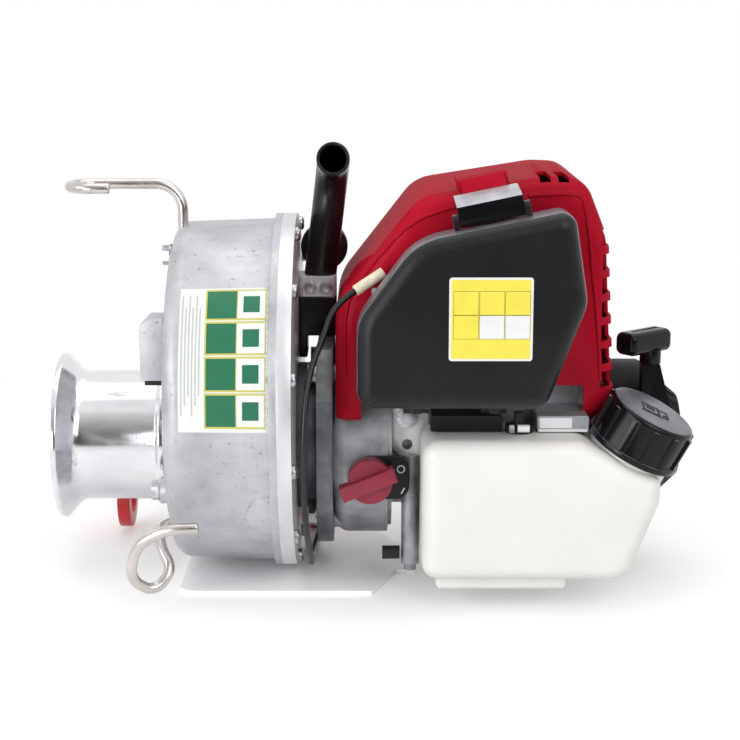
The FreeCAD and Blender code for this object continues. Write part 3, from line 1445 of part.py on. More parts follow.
def cleaner_cover():
    back, deep, wall = -value("cleaner_back"), value("cleaner_case_depth"), value("cleaner_wall")
    corners = cleaner_corners()
    split = back - deep - value("seat_gap")
    front = split - value("cleaner_cover_depth")
    edge_round = value("cleaner_round")
    cover = rounded_prism(corners, front, split)
    cover = cover.makeFillet(edge_round, edges_at(cover, "y", front))
    inner = rounded_prism(corners, front + wall, split, wall)
    inner = inner.makeFillet(edge_round - wall, edges_at(inner, "y", front + wall))
    cover = cover.cut(inner)
    places, y, z = hinge_places()
    knuckle, lug, gap = value("knuckle_radius"), value("lug_width"), value("seat_gap")
    length, low = value("hinge_length"), value(CLEANER_LOW)
    tabs, bores = [], []
    for start in places:
        left, right = start + lug + gap, start + length - lug - gap
        tabs.append(rod((left, y, z), (1, 0, 0), right - left, knuckle))
        tabs.append(box((left, split - value("tab_reach"), z - knuckle / 2.0), (right, y, low)))
        bores.append(rod((left - OVER, y, z), (1, 0, 0), right - left + 2.0 * OVER,
                         value("hinge_radius + running_fit")))
    pivot_y, rise = latch_pivot()
    half, ear = value("latch_half + seat_gap"), value("ear_width")
    bore, round_end = value("latch_pin + running_fit"), value("ear_radius")
    for left in (-half - ear, half):
        tabs.append(on_latch_edge(rod((left, pivot_y, rise), (1, 0, 0), ear, round_end)))
        foot = box((left, pivot_y - round_end, -wall / 2.0), (left + ear, pivot_y + round_end, rise))
        tabs.append(on_latch_edge(foot))
        hole = rod((left - OVER, pivot_y, rise), (1, 0, 0), ear + 2.0 * OVER, bore)
        bores.append(on_latch_edge(hole))
    solid_feature("cleaner_cover", cover.fuse(tabs).cut(bores).removeSplitter())


def cover_latch():
    """A clip on its pin in the cover's ears, its tongue pressed against the slope of the shroud's catch."""
    pivot_y, rise = latch_pivot()
    half, ear = value("latch_half"), value("ear_width + seat_gap")
    ledge = value("ledge_rise") + value("seat_gap")
    foot, run, climb = catch_slope()
    lean = run / climb
    low_tip = foot + lean * value("seat_gap") - value("latch_gap") * math.hypot(1.0, lean)
    tip = low_tip + lean * value("latch_thick")
    top = ledge + value("latch_thick")
    plate, drop, bend = value("latch_plate"), value("latch_front_drop"), value("latch_bend_drop")
    front, behind = pivot_y - plate, pivot_y + plate
    profile = [(front, OVER), (front, top - drop), (pivot_y, top - drop + OVER),
               (tip - value("latch_flat"), top), (tip, top), (low_tip, ledge),
               (low_tip - value("latch_lip"), ledge), (behind + plate, ledge - bend),
               (behind, ledge - 2.0 * bend), (behind, OVER)]
    points = [Vector(-half, y, z) for y, z in profile]
    clip = Part.Face(Part.makePolygon(points + points[:1])).extrude(Vector(2.0 * half, 0, 0))
    pin = rod((-half - ear, pivot_y, rise), (1, 0, 0), 2.0 * (half + ear), value("latch_pin"))
    solid_feature("cover_latch", on_latch_edge(clip.fuse(pin).removeSplitter()))


def carburettor():
    back, gap = -value("cleaner_back"), value("seat_gap")
    x, z, half = value("carb_x"), value(CARB_Z), value("carb_half")
    far = -value("fin_half") - gap
    body = box((x - half, back, z - half), (x + half, far, z + half))
    throat = rod((x, back, z), (0, 1, 0), far - back, value("throat_radius"))
    left, thick = x - half, value("arm_thick")
    pivot = (left, -value("arm_out"), z + value("arm_rise"))
    bore = rod(pivot, (1, 0, 0), value("arm_pin_length"), value("arm_pin + running_fit"))
    tab_far, tab_low = -value("shroud_half + tab_gap"), z + value("cable_tab_low")
    tab = box((left - value("tab_length"), tab_far - value("tab_thick"), tab_low),
              (left + OVER, tab_far, tab_low + value("tab_height")))
    solid_feature("carburettor", body.cut([throat, bore]).fuse(tab).removeSplitter())
    outside = left - gap - thick
    hub = rod((outside, *pivot[1:]), (1, 0, 0), thick, value("arm_hub"))
    pin = rod((outside, *pivot[1:]), (1, 0, 0), thick + value("arm_pin_length"), value("arm_pin"))
    arm = box((outside, pivot[1] - value("arm_pin"), pivot[2]),
              (outside + thick, pivot[1] + value("arm_pin"), pivot[2] + value("arm_length")))
    solid_feature("throttle_arm", hub.fuse([pin, arm]).removeSplitter())


def filler():
    """The cap's seat above the tank's sloping shoulder, and the filler's axis."""
    tilt, toward = math.radians(value("neck_tilt")), math.radians(value("neck_toward"))
    axis = Vector(math.sin(tilt), -math.sin(toward), math.cos(tilt)).normalize()
    x = value("tank_right") - value("neck_inset")
    shoulder = value(TANK_HIGH) - (value("shoulder_length") - value("neck_inset")) * math.tan(tilt)
    foot = Vector(x, -value("tank_near") + value("neck_back"), shoulder)
    return foot + axis * value("collar_rise"), axis


def tank_corners():
    left, right = value("tank_left"), value("tank_right")
    top, low = value(TANK_HIGH), value(TANK_FOOT) + value("tank_foot")
    run = value("shoulder_length")
    side = top - run * math.tan(math.radians(value("neck_tilt")))
    corner, base = value("tank_corner_round"), value("tank_base_round")
    return [(left, low, corner), (right - value("tank_taper"), low, base),
            (right, side - value("tank_side_drop"), corner), (right, side, value("tank_edge_round")),
            (right - run, top, base), (left, top, corner)]


def tank():
    near, inner, far = -value("tank_near"), -value("tank_inner"), value("tank_far")
    wall, edge_round = value("tank_wall"), value("tank_round")
    corners = tank_corners()
    body = rounded_prism(corners, near, inner)
    body = body.makeFillet(edge_round, edges_at(body, "y", near))
    low, high = value(TANK_FOOT) + value("tank_foot"), value(TANK_FLOOR)
    left, right = value("tank_left"), value("tank_right")
    margin, overlap = value("under_margin"), value("under_overlap")
    end = right - value("tank_taper") - 2.0 * margin
    under = box((left + margin, inner - overlap, low), (end, far, high))
    foot_x, foot_y = left + value("foot_margin"), near + value("foot_inset")
    foot = box((foot_x, foot_y, value(TANK_FOOT)),
               (foot_x + value("foot_length"), foot_y + value("foot_width"), low + OVER))
    rims = [edge for edge in foot.Edges if edge.CenterOfMass.z < low]
    foot = foot.makeFillet(value("foot_round"), rims)
    hollow = rounded_prism(corners, near + wall, inner - wall, wall)
    hollow = hollow.makeFillet(edge_round - wall, edges_at(hollow, "y", near + wall))
    hollow = hollow.fuse(box((left + margin + wall, inner - overlap - wall, low + wall),
                             (end - wall, far - wall, high - wall)))
    seat, axis = filler()
    sunk = value("collar_rise + tank_wall + collar_sink")
    bore_r = value("neck_radius - neck_wall")
    collar = Part.makeCylinder(value("collar_radius"), sunk - value("seat_gap"), seat - axis * sunk, axis)
    neck = Part.makeCylinder(value("neck_radius"), sunk + value("neck_height"), seat - axis * sunk, axis)
    bore = Part.makeCylinder(bore_r, sunk + value("neck_height") + OVER, seat - axis * sunk, axis)
    shape = body.fuse([under, foot])
    spare = collar.fuse(neck).common(hollow)
    shape = shape.cut(hollow).fuse(collar.fuse(neck).cut(spare)).cut(bore)
    solid_feature("fuel_tank", shape.removeSplitter())
    x, y = value("fitting_x"), near + value("fitting_back")
    top = value(TANK_HIGH)
    grommet = rod((x, y, top), (0, 0, 1), value("grommet_height"), value("grommet_radius"))
    top += value("grommet_height")
    spout = rod((x, y, top), (0, 0, 1), value("spout_height"), value("spout_radius"))
    solid_feature("fuel_fitting", grommet.fuse(spout).removeSplitter())


def fuel_cap():
    seat, axis = filler()
    radius, height, skin = value("cap_radius"), value("cap_height"), value("cap_wall")
    shell = Part.makeCylinder(radius - skin, height, seat, axis)
    crown = [edge for edge in shell.Edges if abs((edge.CenterOfMass - seat).dot(axis) - height) < 1e-3]
    shell = shell.makeFillet(value("cap_crown"), crown)
    lip = Part.makeCylinder(radius, value("cap_lip"), seat, axis)
    ribs = []
    count, half = int(value("cap_ribs")), value("rib_half")
    turn = FreeCAD.Placement(seat, FreeCAD.Rotation(Vector(0, 0, 1), axis))
    for k in range(count):
        rib = box((radius - skin - value("rib_sink"), -half, 0.0),
                  (radius - value("rib_step"), half, height - value("cap_crown")))
        rib.rotate(Vector(0, 0, 0), Vector(0, 0, 1), 360.0 * k / count)
        rib.Placement = turn.multiply(rib.Placement)
        ribs.append(rib)
    depth = value("neck_height + seat_gap")
    hollow = Part.makeCylinder(value("neck_radius + seat_gap"), depth, seat, axis)
    solid_feature("fuel_cap", shell.fuse([lip] + ribs).cut(hollow).removeSplitter())


def recoil():
    body = new_body("recoil_case_turned", z=AXIS_Z)
    start, wall, rim = "crankcase_back", "recoil_wall", "recoil_radius"
    end = f"({start} + recoil_depth)"
    bend, knee = f"({start} + recoil_straight)", f"({start} + recoil_knee)"
    revolve(body, (start, f"{rim} - {wall}"), (start, rim), (bend, rim), (knee, f"{rim} - recoil_step"),
            (end, "recoil_nose"), (end, "0"), (f"{end} - {wall}", "0"),
            (f"{end} - {wall}", f"recoil_nose - {wall}"),
            (f"{knee} - {wall}", f"{rim} - recoil_step - {wall}"),
            (f"{bend} - {wall} / 2", f"{rim} - {wall}"))
    DOC.recompute()
    axis_z, reach = value(AXIS_Z), value("reel_radius")
    x = value(f"{start} + rope_plane")
    top = axis_z + value("guide_rise")
    half, lean = value("column_half"), value("column_lean")
    low = axis_z + math.sqrt(value(rim) ** 2 - reach ** 2) - value("column_sink")
    points = [Vector(x - half, -reach - half, low), Vector(x + half + lean, -reach - half, low),
              Vector(x + half, -reach - half, top), Vector(x - half, -reach - half, top)]
    column = Part.Face(Part.makePolygon(points + points[:1])).extrude(Vector(0, 2.0 * half, 0))
    inside = rod((value(start), 0, axis_z), (1, 0, 0), value("recoil_depth"), value(f"{rim} - {wall}"))
    bore = rod((x, -reach, axis_z), (0, 0, 1), 2.0 * value("guide_rise"), value("rope_radius + rope_clear"))
    wide, fit = value("reel_width"), value("running_fit")
    pin_r = value("pin_radius")
    pin_start = x - wide / 2.0 - value("pin_over")
    pin = rod((pin_start, 0, axis_z), (1, 0, 0), value(f"{end} - {wall} / 2") - pin_start, pin_r)
    shape = body.Shape.fuse(column.cut(inside)).cut(bore).fuse(pin)
    solid_feature("recoil_case", shape.removeSplitter())
    groove, flange = value("rope_radius + rope_clear / 2"), value("reel_flange")
    floor = reach - value("rope_radius") - value("reel_floor")
    side, bore, edge = wide / 2.0, pin_r + fit, reach + flange
    profile = [(-side, bore), (side, bore), (side, edge), (groove, edge),
               (groove, floor), (-groove, floor), (-groove, edge), (-side, edge)]
    points = [Vector(x + along, 0, radius) for along, radius in profile]
    reel = Part.Face(Part.makePolygon(points + points[:1])).revolve(Vector(0, 0, 0), Vector(1, 0, 0), 360.0)
    reel.translate(Vector(0, 0, axis_z))
    solid_feature("starter_reel", reel)
    grip_z = top + value("seat_gap")
    stem = rod((x, -reach, grip_z), (0, 0, 1), value("stem_height"), value("stem_radius"))
    long, across, tall = value("grip_length") / 2.0, value("grip_width") / 2.0, value("grip_height")
    bar = box((-long, -across, 0), (long, across, tall))
    bar = bar.makeFillet(value("grip_round"), bar.Edges)
    bar.rotate(Vector(0, 0, 0), Vector(0, 0, 1), value("grip_turn"))
    bar.translate(Vector(x - value("grip_shift"), -reach, grip_z + value("stem_height - grip_sink")))
    solid_feature("starter_grip", stem.fuse(bar).removeSplitter())
    rope_low = axis_z + value("rope_start")
    rope = rod((x, -reach, rope_low), (0, 0, 1), grip_z - rope_low, value("rope_radius"))
    solid_feature("starter_rope", rope)


def stop_switch():
    y = -value("fan_case_radius + seat_gap")
    z = value(AXIS_Z) - value("switch_drop")
    thick, spindle = value("switch_thick"), value("spindle_radius")
    half = value("switch_half")
    plate = box((-value("switch_left"), y - thick, z - half), (value("switch_right"), y, z + half))
    upright = [edge for edge in plate.Edges if abs(edge.tangentAt(edge.FirstParameter).y) > 0.9]
    plate = plate.makeFillet(value("switch_round"), upright)
    hole = rod((0, y - thick, z), (0, 1, 0), thick, spindle + value("running_fit"))
    solid_feature("switch_plate", plate.cut(hole))
    seat, tall = y - thick - value("seat_gap"), value("knob_height")
    disc = rod((0, seat, z), (0, -1, 0), value("knob_disc"), value("knob_radius"))
    stem = rod((0, seat, z), (0, 1, 0), thick, spindle)
    long, half = value("knob_bar") / 2.0, value("knob_bar_half")
    shift = value("knob_bar_shift")
    bar = box((-long - shift, seat - tall, z - half), (long - shift, seat - value("knob_bar_foot"), z + half))
    bar.rotate(Vector(0, 0, z), Vector(0, 1, 0), -value("knob_turn"))
    solid_feature("stop_knob", disc.fuse([stem, bar]).removeSplitter())


def bracket_face():
    """The near face of the side bracket, which stands on a boss of the crankcase."""
    return -value("crankcase_radius + bracket_stand + sheet_thick")


def bracket_x():
    return value(X_FACE) + value("fan_case_depth + fan_case_taper") + value("side_bracket_shift")


def side_bracket():
    near, x = bracket_face(), bracket_x()
    axis_z, sheet = value(AXIS_Z), value("sheet_thick")
    wide, high, low = value("side_bracket_half"), value("side_bracket_high"), value("side_bracket_low")
    left, toe = x - value("side_bracket_left"), x - value("side_bracket_toe")
    small, large = value("side_bracket_round"), value("side_bracket_top_round")
    corners = [(left, axis_z + low, small), (toe, axis_z - low, small), (x + wide, axis_z - low, small),
               (x + wide, axis_z + high, large), (left, axis_z + high, large)]
    plate = rounded_prism(corners, near, near + sheet)
    radius, foot = value("leg_radius"), axis_z - value("leg_drop")
    leg_x = x + value("leg_shift")
    leg = rod((leg_x, near + sheet / 2.0, foot), (0, 0, 1), axis_z - foot, radius)
    drop = value("stud_drop")
    stud = rod((leg_x, near + sheet / 2.0, foot - drop), (0, 0, 1), drop, value("stud_radius"))
    hole = (x, near - radius, axis_z + value("side_hole_rise"))
    holes = [rod(hole, (0, 1, 0), 3.0 * radius, value("m_six_radius")),
             rod(bracket_bolt(), (0, 1, 0), sheet, value("m_six_radius"))]
    solid_feature("side_bracket", plate.fuse([leg, stud]).cut(holes).removeSplitter())


def muffler():
    half, gap = value("shroud_half"), value("seat_gap")
    x, z = value("cylinder_x"), value(PORT_Z)
    wide, tall, deep = value("muffler_half"), value("muffler_rise"), value("muffler_depth")
    near = half + value("muffler_stand")
    body = box((x - wide, near, z - tall), (x + wide, near + deep, z + tall))
    body = body.makeFillet(value("muffler_round"), body.Edges)
    port, port_tall = value("port_half"), value("port_rise_half")
    flange = box((x - port, value("fin_half") + gap, z - port_tall),
                 (x + port, near + OVER + value("muffler_round"), z + port_tall))
    solid_feature("muffler", body.fuse(flange).removeSplitter())
    room, skin, edge_round = value("guard_room"), value("guard_wall"), value("muffler_round")
    far = near + deep + room
    outer = box((x - wide - room, half, z - tall - room), (x + wide + room, far, z + tall + room))
    rims = [edge for edge in outer.Edges if edge.CenterOfMass.y > half + skin / 2.0]
    outer = outer.makeFillet(edge_round, rims)
    inner = box((x - wide - room + skin, half - OVER, z - tall - room + skin),
                (x + wide + room - skin, far - skin, z + tall + room - skin))
    rims = [edge for edge in inner.Edges if edge.CenterOfMass.y > half]
    inner = inner.makeFillet(edge_round - skin, rims)
    count = int(value("guard_slots"))
    pitch = 2.0 * wide / count
    slot_tall = tall - value("guard_slot_margin")
    slots = [box((x - wide + (k + 0.25) * pitch, far - edge_round, z - slot_tall),
                 (x - wide + (k + 0.75) * pitch, far + OVER, z + slot_tall)) for k in range(count)]
    solid_feature("muffler_guard", outer.cut([inner] + slots).removeSplitter())


def throttle():
    cover, axis_z = value(X_COVER), value(AXIS_Z)
    steps = [(34.0, -72.5, 98.0), (22.5, -75.9, 90.8), (17.2, -82.0, 75.0), (9.8, -90.0, 58.0),
             (7.2, -97.8, 39.0), (6.2, -101.0, 9.0), (6.7, -92.0, -28.2), (9.2, -60.0, -59.2),
             (7.5, -30.0, -69.5), (9.0, 7.0, -69.5), (15.0, 42.0, -58.0), (18.7, 56.5, -32.0),
             (18.7, 56.5, 4.0), (17.0, 51.0, 38.0), (14.8, 44.0, 67.0), (14.6, 38.5, 92.9)]
    points = [(cover + along, y, axis_z + up) for along, y, up in steps]
    bends = cord_bends(points)
    path = route(points, bends)
    cable = tube(path, value("cable_radius"))
    print("cable radii", [round(radius, 1) for radius in bends], "length", round(path.Length, 1),
          "volume share", round(cable.Volume / (math.pi * value("cable_radius") ** 2 * path.Length), 4))
    solid_feature("throttle_cable", cable)
    start = Vector(*points[0])
    heading = (start - Vector(*points[1])).normalize()
    ferrule = Part.makeCylinder(value("ferrule_radius"), value("ferrule_length"), start, heading)
    solid_feature("cable_ferrule", ferrule)


BUILD_ORDER = (base_plate, gear_case, case_cover, cover_screws, drum, bearings, gear_train, clutch,
               mount_plate, hex_bolts, rope_hardware, anchor, handle, throttle_control, crankcase,
               engine_inside, shroud, cleaner_case, cleaner_cover, cover_latch, carburettor, tank, fuel_cap,
               recoil, stop_switch, side_bracket, muffler, throttle)


def finished_parts():
    """The objects that are pieces of the winch: bodies and features that keep their own name."""
    for obj in DOC.Objects:
        if obj.TypeId in ("PartDesign::Body", "Part::Feature") and not obj.Label.endswith("_turned"):
            yield obj


def main():
    fill_sheet()
    for build in BUILD_ORDER:
        build()
    DOC.recompute()
    for obj in DOC.Objects:
        if "Invalid" in obj.State or "Error" in obj.State:
            raise RuntimeError(f"{obj.Label} failed: {obj.State}")
    pieces = list(finished_parts())
    for piece in pieces:
        if piece.Shape.isNull() or not piece.Shape.isValid():
            raise RuntimeError(f"{piece.Label} has no valid shape")
    os.makedirs("parts", exist_ok=True)
    for piece in pieces:
        piece.Shape.exportStep(f"parts/{piece.Label}.step")
        print(piece.Label, len(piece.Shape.Solids), round(piece.Shape.Volume))


main()
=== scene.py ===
"""Looks of a small petrol capstan winch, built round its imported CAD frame."""
import json
import math

import bpy
from bpy.props import FloatProperty, FloatVectorProperty, PointerProperty
from bpy.types import Operator, Panel, PropertyGroup
from mathutils import Matrix, Vector


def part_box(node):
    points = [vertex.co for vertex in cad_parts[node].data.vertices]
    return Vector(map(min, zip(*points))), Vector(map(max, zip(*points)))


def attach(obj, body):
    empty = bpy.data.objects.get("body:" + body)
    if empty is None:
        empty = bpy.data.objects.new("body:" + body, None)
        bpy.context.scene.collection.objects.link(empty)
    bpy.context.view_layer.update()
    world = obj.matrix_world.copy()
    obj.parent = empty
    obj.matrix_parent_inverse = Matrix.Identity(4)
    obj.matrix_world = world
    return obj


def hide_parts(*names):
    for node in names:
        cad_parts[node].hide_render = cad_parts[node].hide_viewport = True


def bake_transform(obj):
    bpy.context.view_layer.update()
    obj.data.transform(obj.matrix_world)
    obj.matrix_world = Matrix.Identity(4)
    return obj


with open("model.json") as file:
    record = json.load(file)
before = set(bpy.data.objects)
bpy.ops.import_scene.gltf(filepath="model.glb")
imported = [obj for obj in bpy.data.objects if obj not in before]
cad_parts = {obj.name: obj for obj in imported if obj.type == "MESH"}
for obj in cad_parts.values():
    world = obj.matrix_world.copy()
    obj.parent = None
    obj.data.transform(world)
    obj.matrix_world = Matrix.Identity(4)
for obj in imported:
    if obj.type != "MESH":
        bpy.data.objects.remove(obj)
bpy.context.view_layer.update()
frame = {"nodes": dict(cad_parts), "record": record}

bl_info = {
    "name": "Petrol capstan winch",
    "version": (1, 0, 0),
    "blender": (4, 5, 0),
    "location": "View3D > Sidebar > Winch",
    "description": "Finishes and visible details of a small petrol capstan winch",
    "category": "Object",
}

MM = 0.001


def mm(*numbers):
    """A point given in millimetres, as a vector in metres."""
    return Vector(number * MM for number in numbers)


def linear(code):
    """A colour written as an sRGB hex value, turned to linear red, green, blue and alpha."""
    channels = [int(code[k:k + 2], 16) / 255.0 for k in (1, 3, 5)]
    bent = [c / 12.92 if c <= 0.04045 else ((c + 0.055) / 1.055) ** 2.4 for c in channels]
    return (*bent, 1.0)


def length_field(name, description, length):
    """A length property, in metres."""
    return FloatProperty(name=name, description=description, default=length, unit="LENGTH")


def colour_field(name, description, code):
    """A colour property whose default is written as an sRGB hex value."""
    return FloatVectorProperty(name=name, description=description, default=linear(code), size=4,
                               subtype="COLOR")


class WinchSizes(PropertyGroup):
    """Sizes that a user may change without moving a piece."""
    edge: length_field("Edge round", "Rounding of cast and moulded edges", 0.9 * MM)
    fine_edge: length_field("Fine edge", "Rounding of machined and sheet metal edges", 0.35 * MM)
    film: length_field("Film", "Thickness of a printed film or a painted mark", 0.08 * MM)
    lens: FloatProperty(name="Lens", description="Focal length of the camera in millimetres",
                        default=82.7)
    distance: length_field("Camera distance", "From the aim point to the camera", 1.0)
    elevation: FloatProperty(name="Camera height", description="Angle above the horizon",
                             default=math.radians(12.0), subtype="ANGLE")


class WinchColours(PropertyGroup):
    """Colours of the painted, moulded and printed surfaces, as linear values."""
    shroud: colour_field("Shroud", "Red of the engine's shroud", "#A31427")
    cover: colour_field("Cover", "Black of the moulded covers", "#0F0F12")
    tank: colour_field("Tank", "White of the blow moulded tank", "#DEDDD9")
    casting: colour_field("Casting", "Grey of the blasted castings", "#BFC0C5")
    hook: colour_field("Hook", "Red of the anchor hooks", "#C8242F")
    knob: colour_field("Knob", "Crimson of the stop switch's knob", "#851A33")
    print_green: colour_field("Print green", "Green blocks of the case's film", "#17694A")
    print_yellow: colour_field("Print yellow", "Field of the cover's film", "#E0D24A")


def sizes():
    return bpy.context.scene.winch_sizes


def colours():
    return bpy.context.scene.winch_colours


def add_node(tree, kind, links=None, **settings):
    """Add a node with its settings, and link or set its inputs."""
    made = tree.nodes.new(kind)
    for name, setting in settings.items():
        setattr(made, name, setting)
    for socket, source in (links or {}).items():
        if isinstance(source, bpy.types.NodeSocket):
            tree.links.new(source, made.inputs[socket])
        else:
            made.inputs[socket].default_value = source
    return made


def tone(colour, factor):
    """A colour made darker or lighter by a factor."""
    return (*[min(1.0, channel * factor) for channel in colour[:3]], 1.0)


def position(tree):
    """The place of a point on its own object."""
    return add_node(tree, "ShaderNodeTexCoord").outputs["Object"]


def ranged(tree, source, low, high, start=0.0, end=1.0, curve="LINEAR"):
    """A value between two levels, laid out over another range."""
    return add_node(tree, "ShaderNodeMapRange",
                    {"Value": source, "From Min": low, "From Max": high, "To Min": start, "To Max": end},
                    interpolation_type=curve).outputs["Result"]


def worked(tree, operation, first, second):
    """Two values put together by a sum of that name."""
    return add_node(tree, "ShaderNodeMath", {0: first, 1: second}, operation=operation).outputs[0]


def mixed(tree, share, first, second):
    """Two colours mixed by a share."""
    return add_node(tree, "ShaderNodeMix", {"Factor": share, "A": first, "B": second},
                    data_type="RGBA").outputs["Result"]


def bumped(tree, shader, height, distance):
    """Break a finish's skin by a height that runs over it."""
    bump = add_node(tree, "ShaderNodeBump", {"Height": height, "Distance": distance})
    tree.links.new(bump.outputs["Normal"], shader.inputs["Normal"])


def set_inputs(shader, settings):
    for socket, setting in settings.items():
        shader.inputs[socket].default_value = setting


def surface(name, dark, light, cloud, gloss, grit, depth=0.0, metallic=0.0, stretch=(1.0, 1.0, 1.0)):
    """A finish whose colour drifts between two tones over cloud metres, and whose gloss and skin are
    broken by a grit of that size and depth. Returns the material, its tree and its shader."""
    made = bpy.data.materials.new(name)
    made.use_nodes = True
    tree = made.node_tree
    tree.nodes.clear()
    shader = add_node(tree, "ShaderNodeBsdfPrincipled", {"Metallic": metallic})
    add_node(tree, "ShaderNodeOutputMaterial", {"Surface": shader.outputs["BSDF"]})
    place = add_node(tree, "ShaderNodeMapping",
                     {"Vector": position(tree), "Scale": stretch}).outputs["Vector"]
    drift = add_node(tree, "ShaderNodeTexNoise", {"Vector": place, "Scale": 1.0 / cloud, "Detail": 4.0})
    specks = add_node(tree, "ShaderNodeTexNoise", {"Vector": place, "Scale": 1.0 / grit, "Detail": 2.0})
    # Noise keeps mostly to the middle of its range, so that middle is stretched over the tones.
    shade = mixed(tree, ranged(tree, drift.outputs["Fac"], 0.3, 0.7), dark, light)
    tree.links.new(shade, shader.inputs["Base Color"])
    sheen = ranged(tree, specks.outputs["Fac"], 0.25, 0.75, *gloss)
    tree.links.new(sheen, shader.inputs["Roughness"])
    if depth:
        bumped(tree, shader, specks.outputs["Fac"], depth)
    return made, tree, shader


def blasted_casting():
    """Aluminium, sand cast and bead blasted: a soft grey sheen with cloudy patches and dark pits."""
    base = tuple(colours().casting)
    made, tree, shader = surface("aluminium_cast_bead_blasted", tone(base, 0.72), tone(base, 1.06),
                                 26 * MM, (0.40, 0.56), 1.3 * MM, 0.05 * MM, 0.6)
    # Sand leaves pits a few millimetres apart, in loose groups.
    pits = add_node(tree, "ShaderNodeTexNoise", {"Vector": position(tree), "Scale": 1.0 / (3.5 * MM),
                                                 "Detail": 6.0, "Roughness": 0.65})
    deep = ranged(tree, pits.outputs["Fac"], 0.60, 0.74)
    skin = shader.inputs["Base Color"].links[0].from_socket
    tree.links.new(mixed(tree, deep, skin, tone(base, 0.36)), shader.inputs["Base Color"])
    return made


def rough_casting(name, dark, light):
    """Aluminium, die cast and left as it came: greyer, with a grainy skin and darker hollows."""
    return surface(name, linear(dark), linear(light), 14 * MM, (0.38, 0.54), 1.4 * MM, 0.05 * MM,
                   0.7)[0]


RAW_CASTING = ("aluminium_die_cast_raw", "#84868A", "#B9BBBF")
DULL_CASTING = ("aluminium_die_cast_dull", "#606266", "#8C8E92")
DARK_CASTING = ("aluminium_die_cast_dark", "#3C3C40", "#58585C")


def milled_casting():
    """Aluminium, cast and milled flat: bright, with fine cutter lines across it."""
    return surface("aluminium_cast_milled", linear("#C6C6C8"), linear("#DCDCDD"), 18 * MM, (0.28, 0.42),
                   1.2 * MM, 0.01 * MM, 0.5, (1.0, 1.0, 0.25))[0]


def turned_aluminium():
    """Aluminium, turned and polished: mirror bands along the drum, broken by fine tool rings."""
    made, tree, shader = surface("aluminium_turned_polished", linear("#D3D4D7"), linear("#EEEEF0"),
                                 18 * MM, (0.10, 0.20), 5 * MM, 0.0, 1.0, (0.4, 1.0, 1.0))
    # Tool rings of 0.3 mm are drawn 1.2 mm apart so that they show.
    rings = add_node(tree, "ShaderNodeTexWave",
                     {"Vector": position(tree), "Scale": 1.0 / (1.2 * MM) / math.tau, "Distortion": 0.6,
                      "Detail": 2.0, "Detail Scale": 2.0}, bands_direction="X")
    bumped(tree, shader, rings.outputs["Fac"], 0.002 * MM)
    return made


def plate_with_painted_reflection():
    """Stainless steel sheet, cold rolled and polished, with faint straight lines; its near-white colour
    is a painted reflection of the white room.
    """
    # Painted reflection: a near-white colour with little metal stands in for the bright room that the
    # plate reflects.
    return surface("stainless_sheet_painted_reflection", linear("#F8F8F9"), linear("#FEFEFE"), 30 * MM,
                   (0.30, 0.42), 4 * MM, 0.0, 0.1, (0.1, 1.0, 1.0))[0]


def drawn_rod():
    """Stainless rod, drawn and bent cold: warm grey with a soft sheen and a few rubbed places."""
    return surface("stainless_rod_drawn", linear("#B9B2AE"), linear("#D8D2CE"), 18 * MM, (0.20, 0.28),
                   5 * MM, 0.0, 1.0)[0]


def plated_steel():
    """Steel, zinc plated: pale grey with a slightly uneven sheen."""
    return surface("steel_zinc_plated", linear("#9A9BA0"), linear("#C9CACC"), 4 * MM, (0.24, 0.40),
                   1.5 * MM, 0.01 * MM, 1.0)[0]


def ground_steel():
    """Alloy steel, hardened and ground: dark, oiled and smooth."""
    return surface("steel_hardened_ground", linear("#6C6D70"), linear("#97989B"), 8 * MM, (0.18, 0.34),
                   2 * MM, 0.0, 1.0)[0]


def glossy_shroud():
    """ABS, moulded in red with a polished tool: an even red under a thin clear gloss."""
    base = tuple(colours().shroud)
    made, _, shader = surface("abs_moulded_gloss_red", tone(base, 0.90), tone(base, 1.06), 40 * MM,
                              (0.20, 0.28), 9 * MM)
    set_inputs(shader, {"IOR": 1.54, "Specular IOR Level": 0.0, "Coat Weight": 0.08,
                        "Coat Roughness": 0.06})
    return made


def grained_nylon():
    """Nylon with glass fibre, moulded in a spark-eroded tool: near black with a fine satin grain."""
    base = tuple(colours().cover)
    made, _, shader = surface("nylon_moulded_satin_black", tone(base, 0.8), tone(base, 1.3), 30 * MM,
                              (0.34, 0.46), 0.9 * MM, 0.02 * MM)
    set_inputs(shader, {"IOR": 1.53, "Specular IOR Level": 0.28})
    return made


def glossy_nylon():
    """Nylon, moulded in a polished tool: black and shiny, as on the filler cap and the grip."""
    base = tuple(colours().cover)
    made, _, shader = surface("nylon_moulded_gloss_black", tone(base, 0.7), tone(base, 1.1), 25 * MM,
                              (0.15, 0.22), 4 * MM)
    set_inputs(shader, {"IOR": 1.53, "Specular IOR Level": 0.22})
    return made


def matt_nylon():
    """Nylon, moulded in a matt tool: deep black that hardly shines, as on the starter's case."""
    made, _, shader = surface("nylon_moulded_matt_black", linear("#08080A"), linear("#101012"), 25 * MM,
                              (0.40, 0.52), 2 * MM, 0.02 * MM)
    set_inputs(shader, {"Specular IOR Level": 0.1})
    return made


def sheen_painted_nylon(name, dark, light):
    """Nylon with a painted sheen: lighter tones laid on faces that catch the light, as a painted
    highlight.
    """
    return surface(name, linear(dark), linear(light), 9 * MM, (0.25, 0.40), 2 * MM)[0]


# Pale and grey tones of painted sheen, for faces turned to the light.
PALE_SHEEN_NYLON = ("nylon_moulded_rubbed_pale", "#8F8F95", "#B4B4BA")
GREY_SHEEN_NYLON = ("nylon_moulded_rubbed_grey", "#4B4C52", "#696A71")


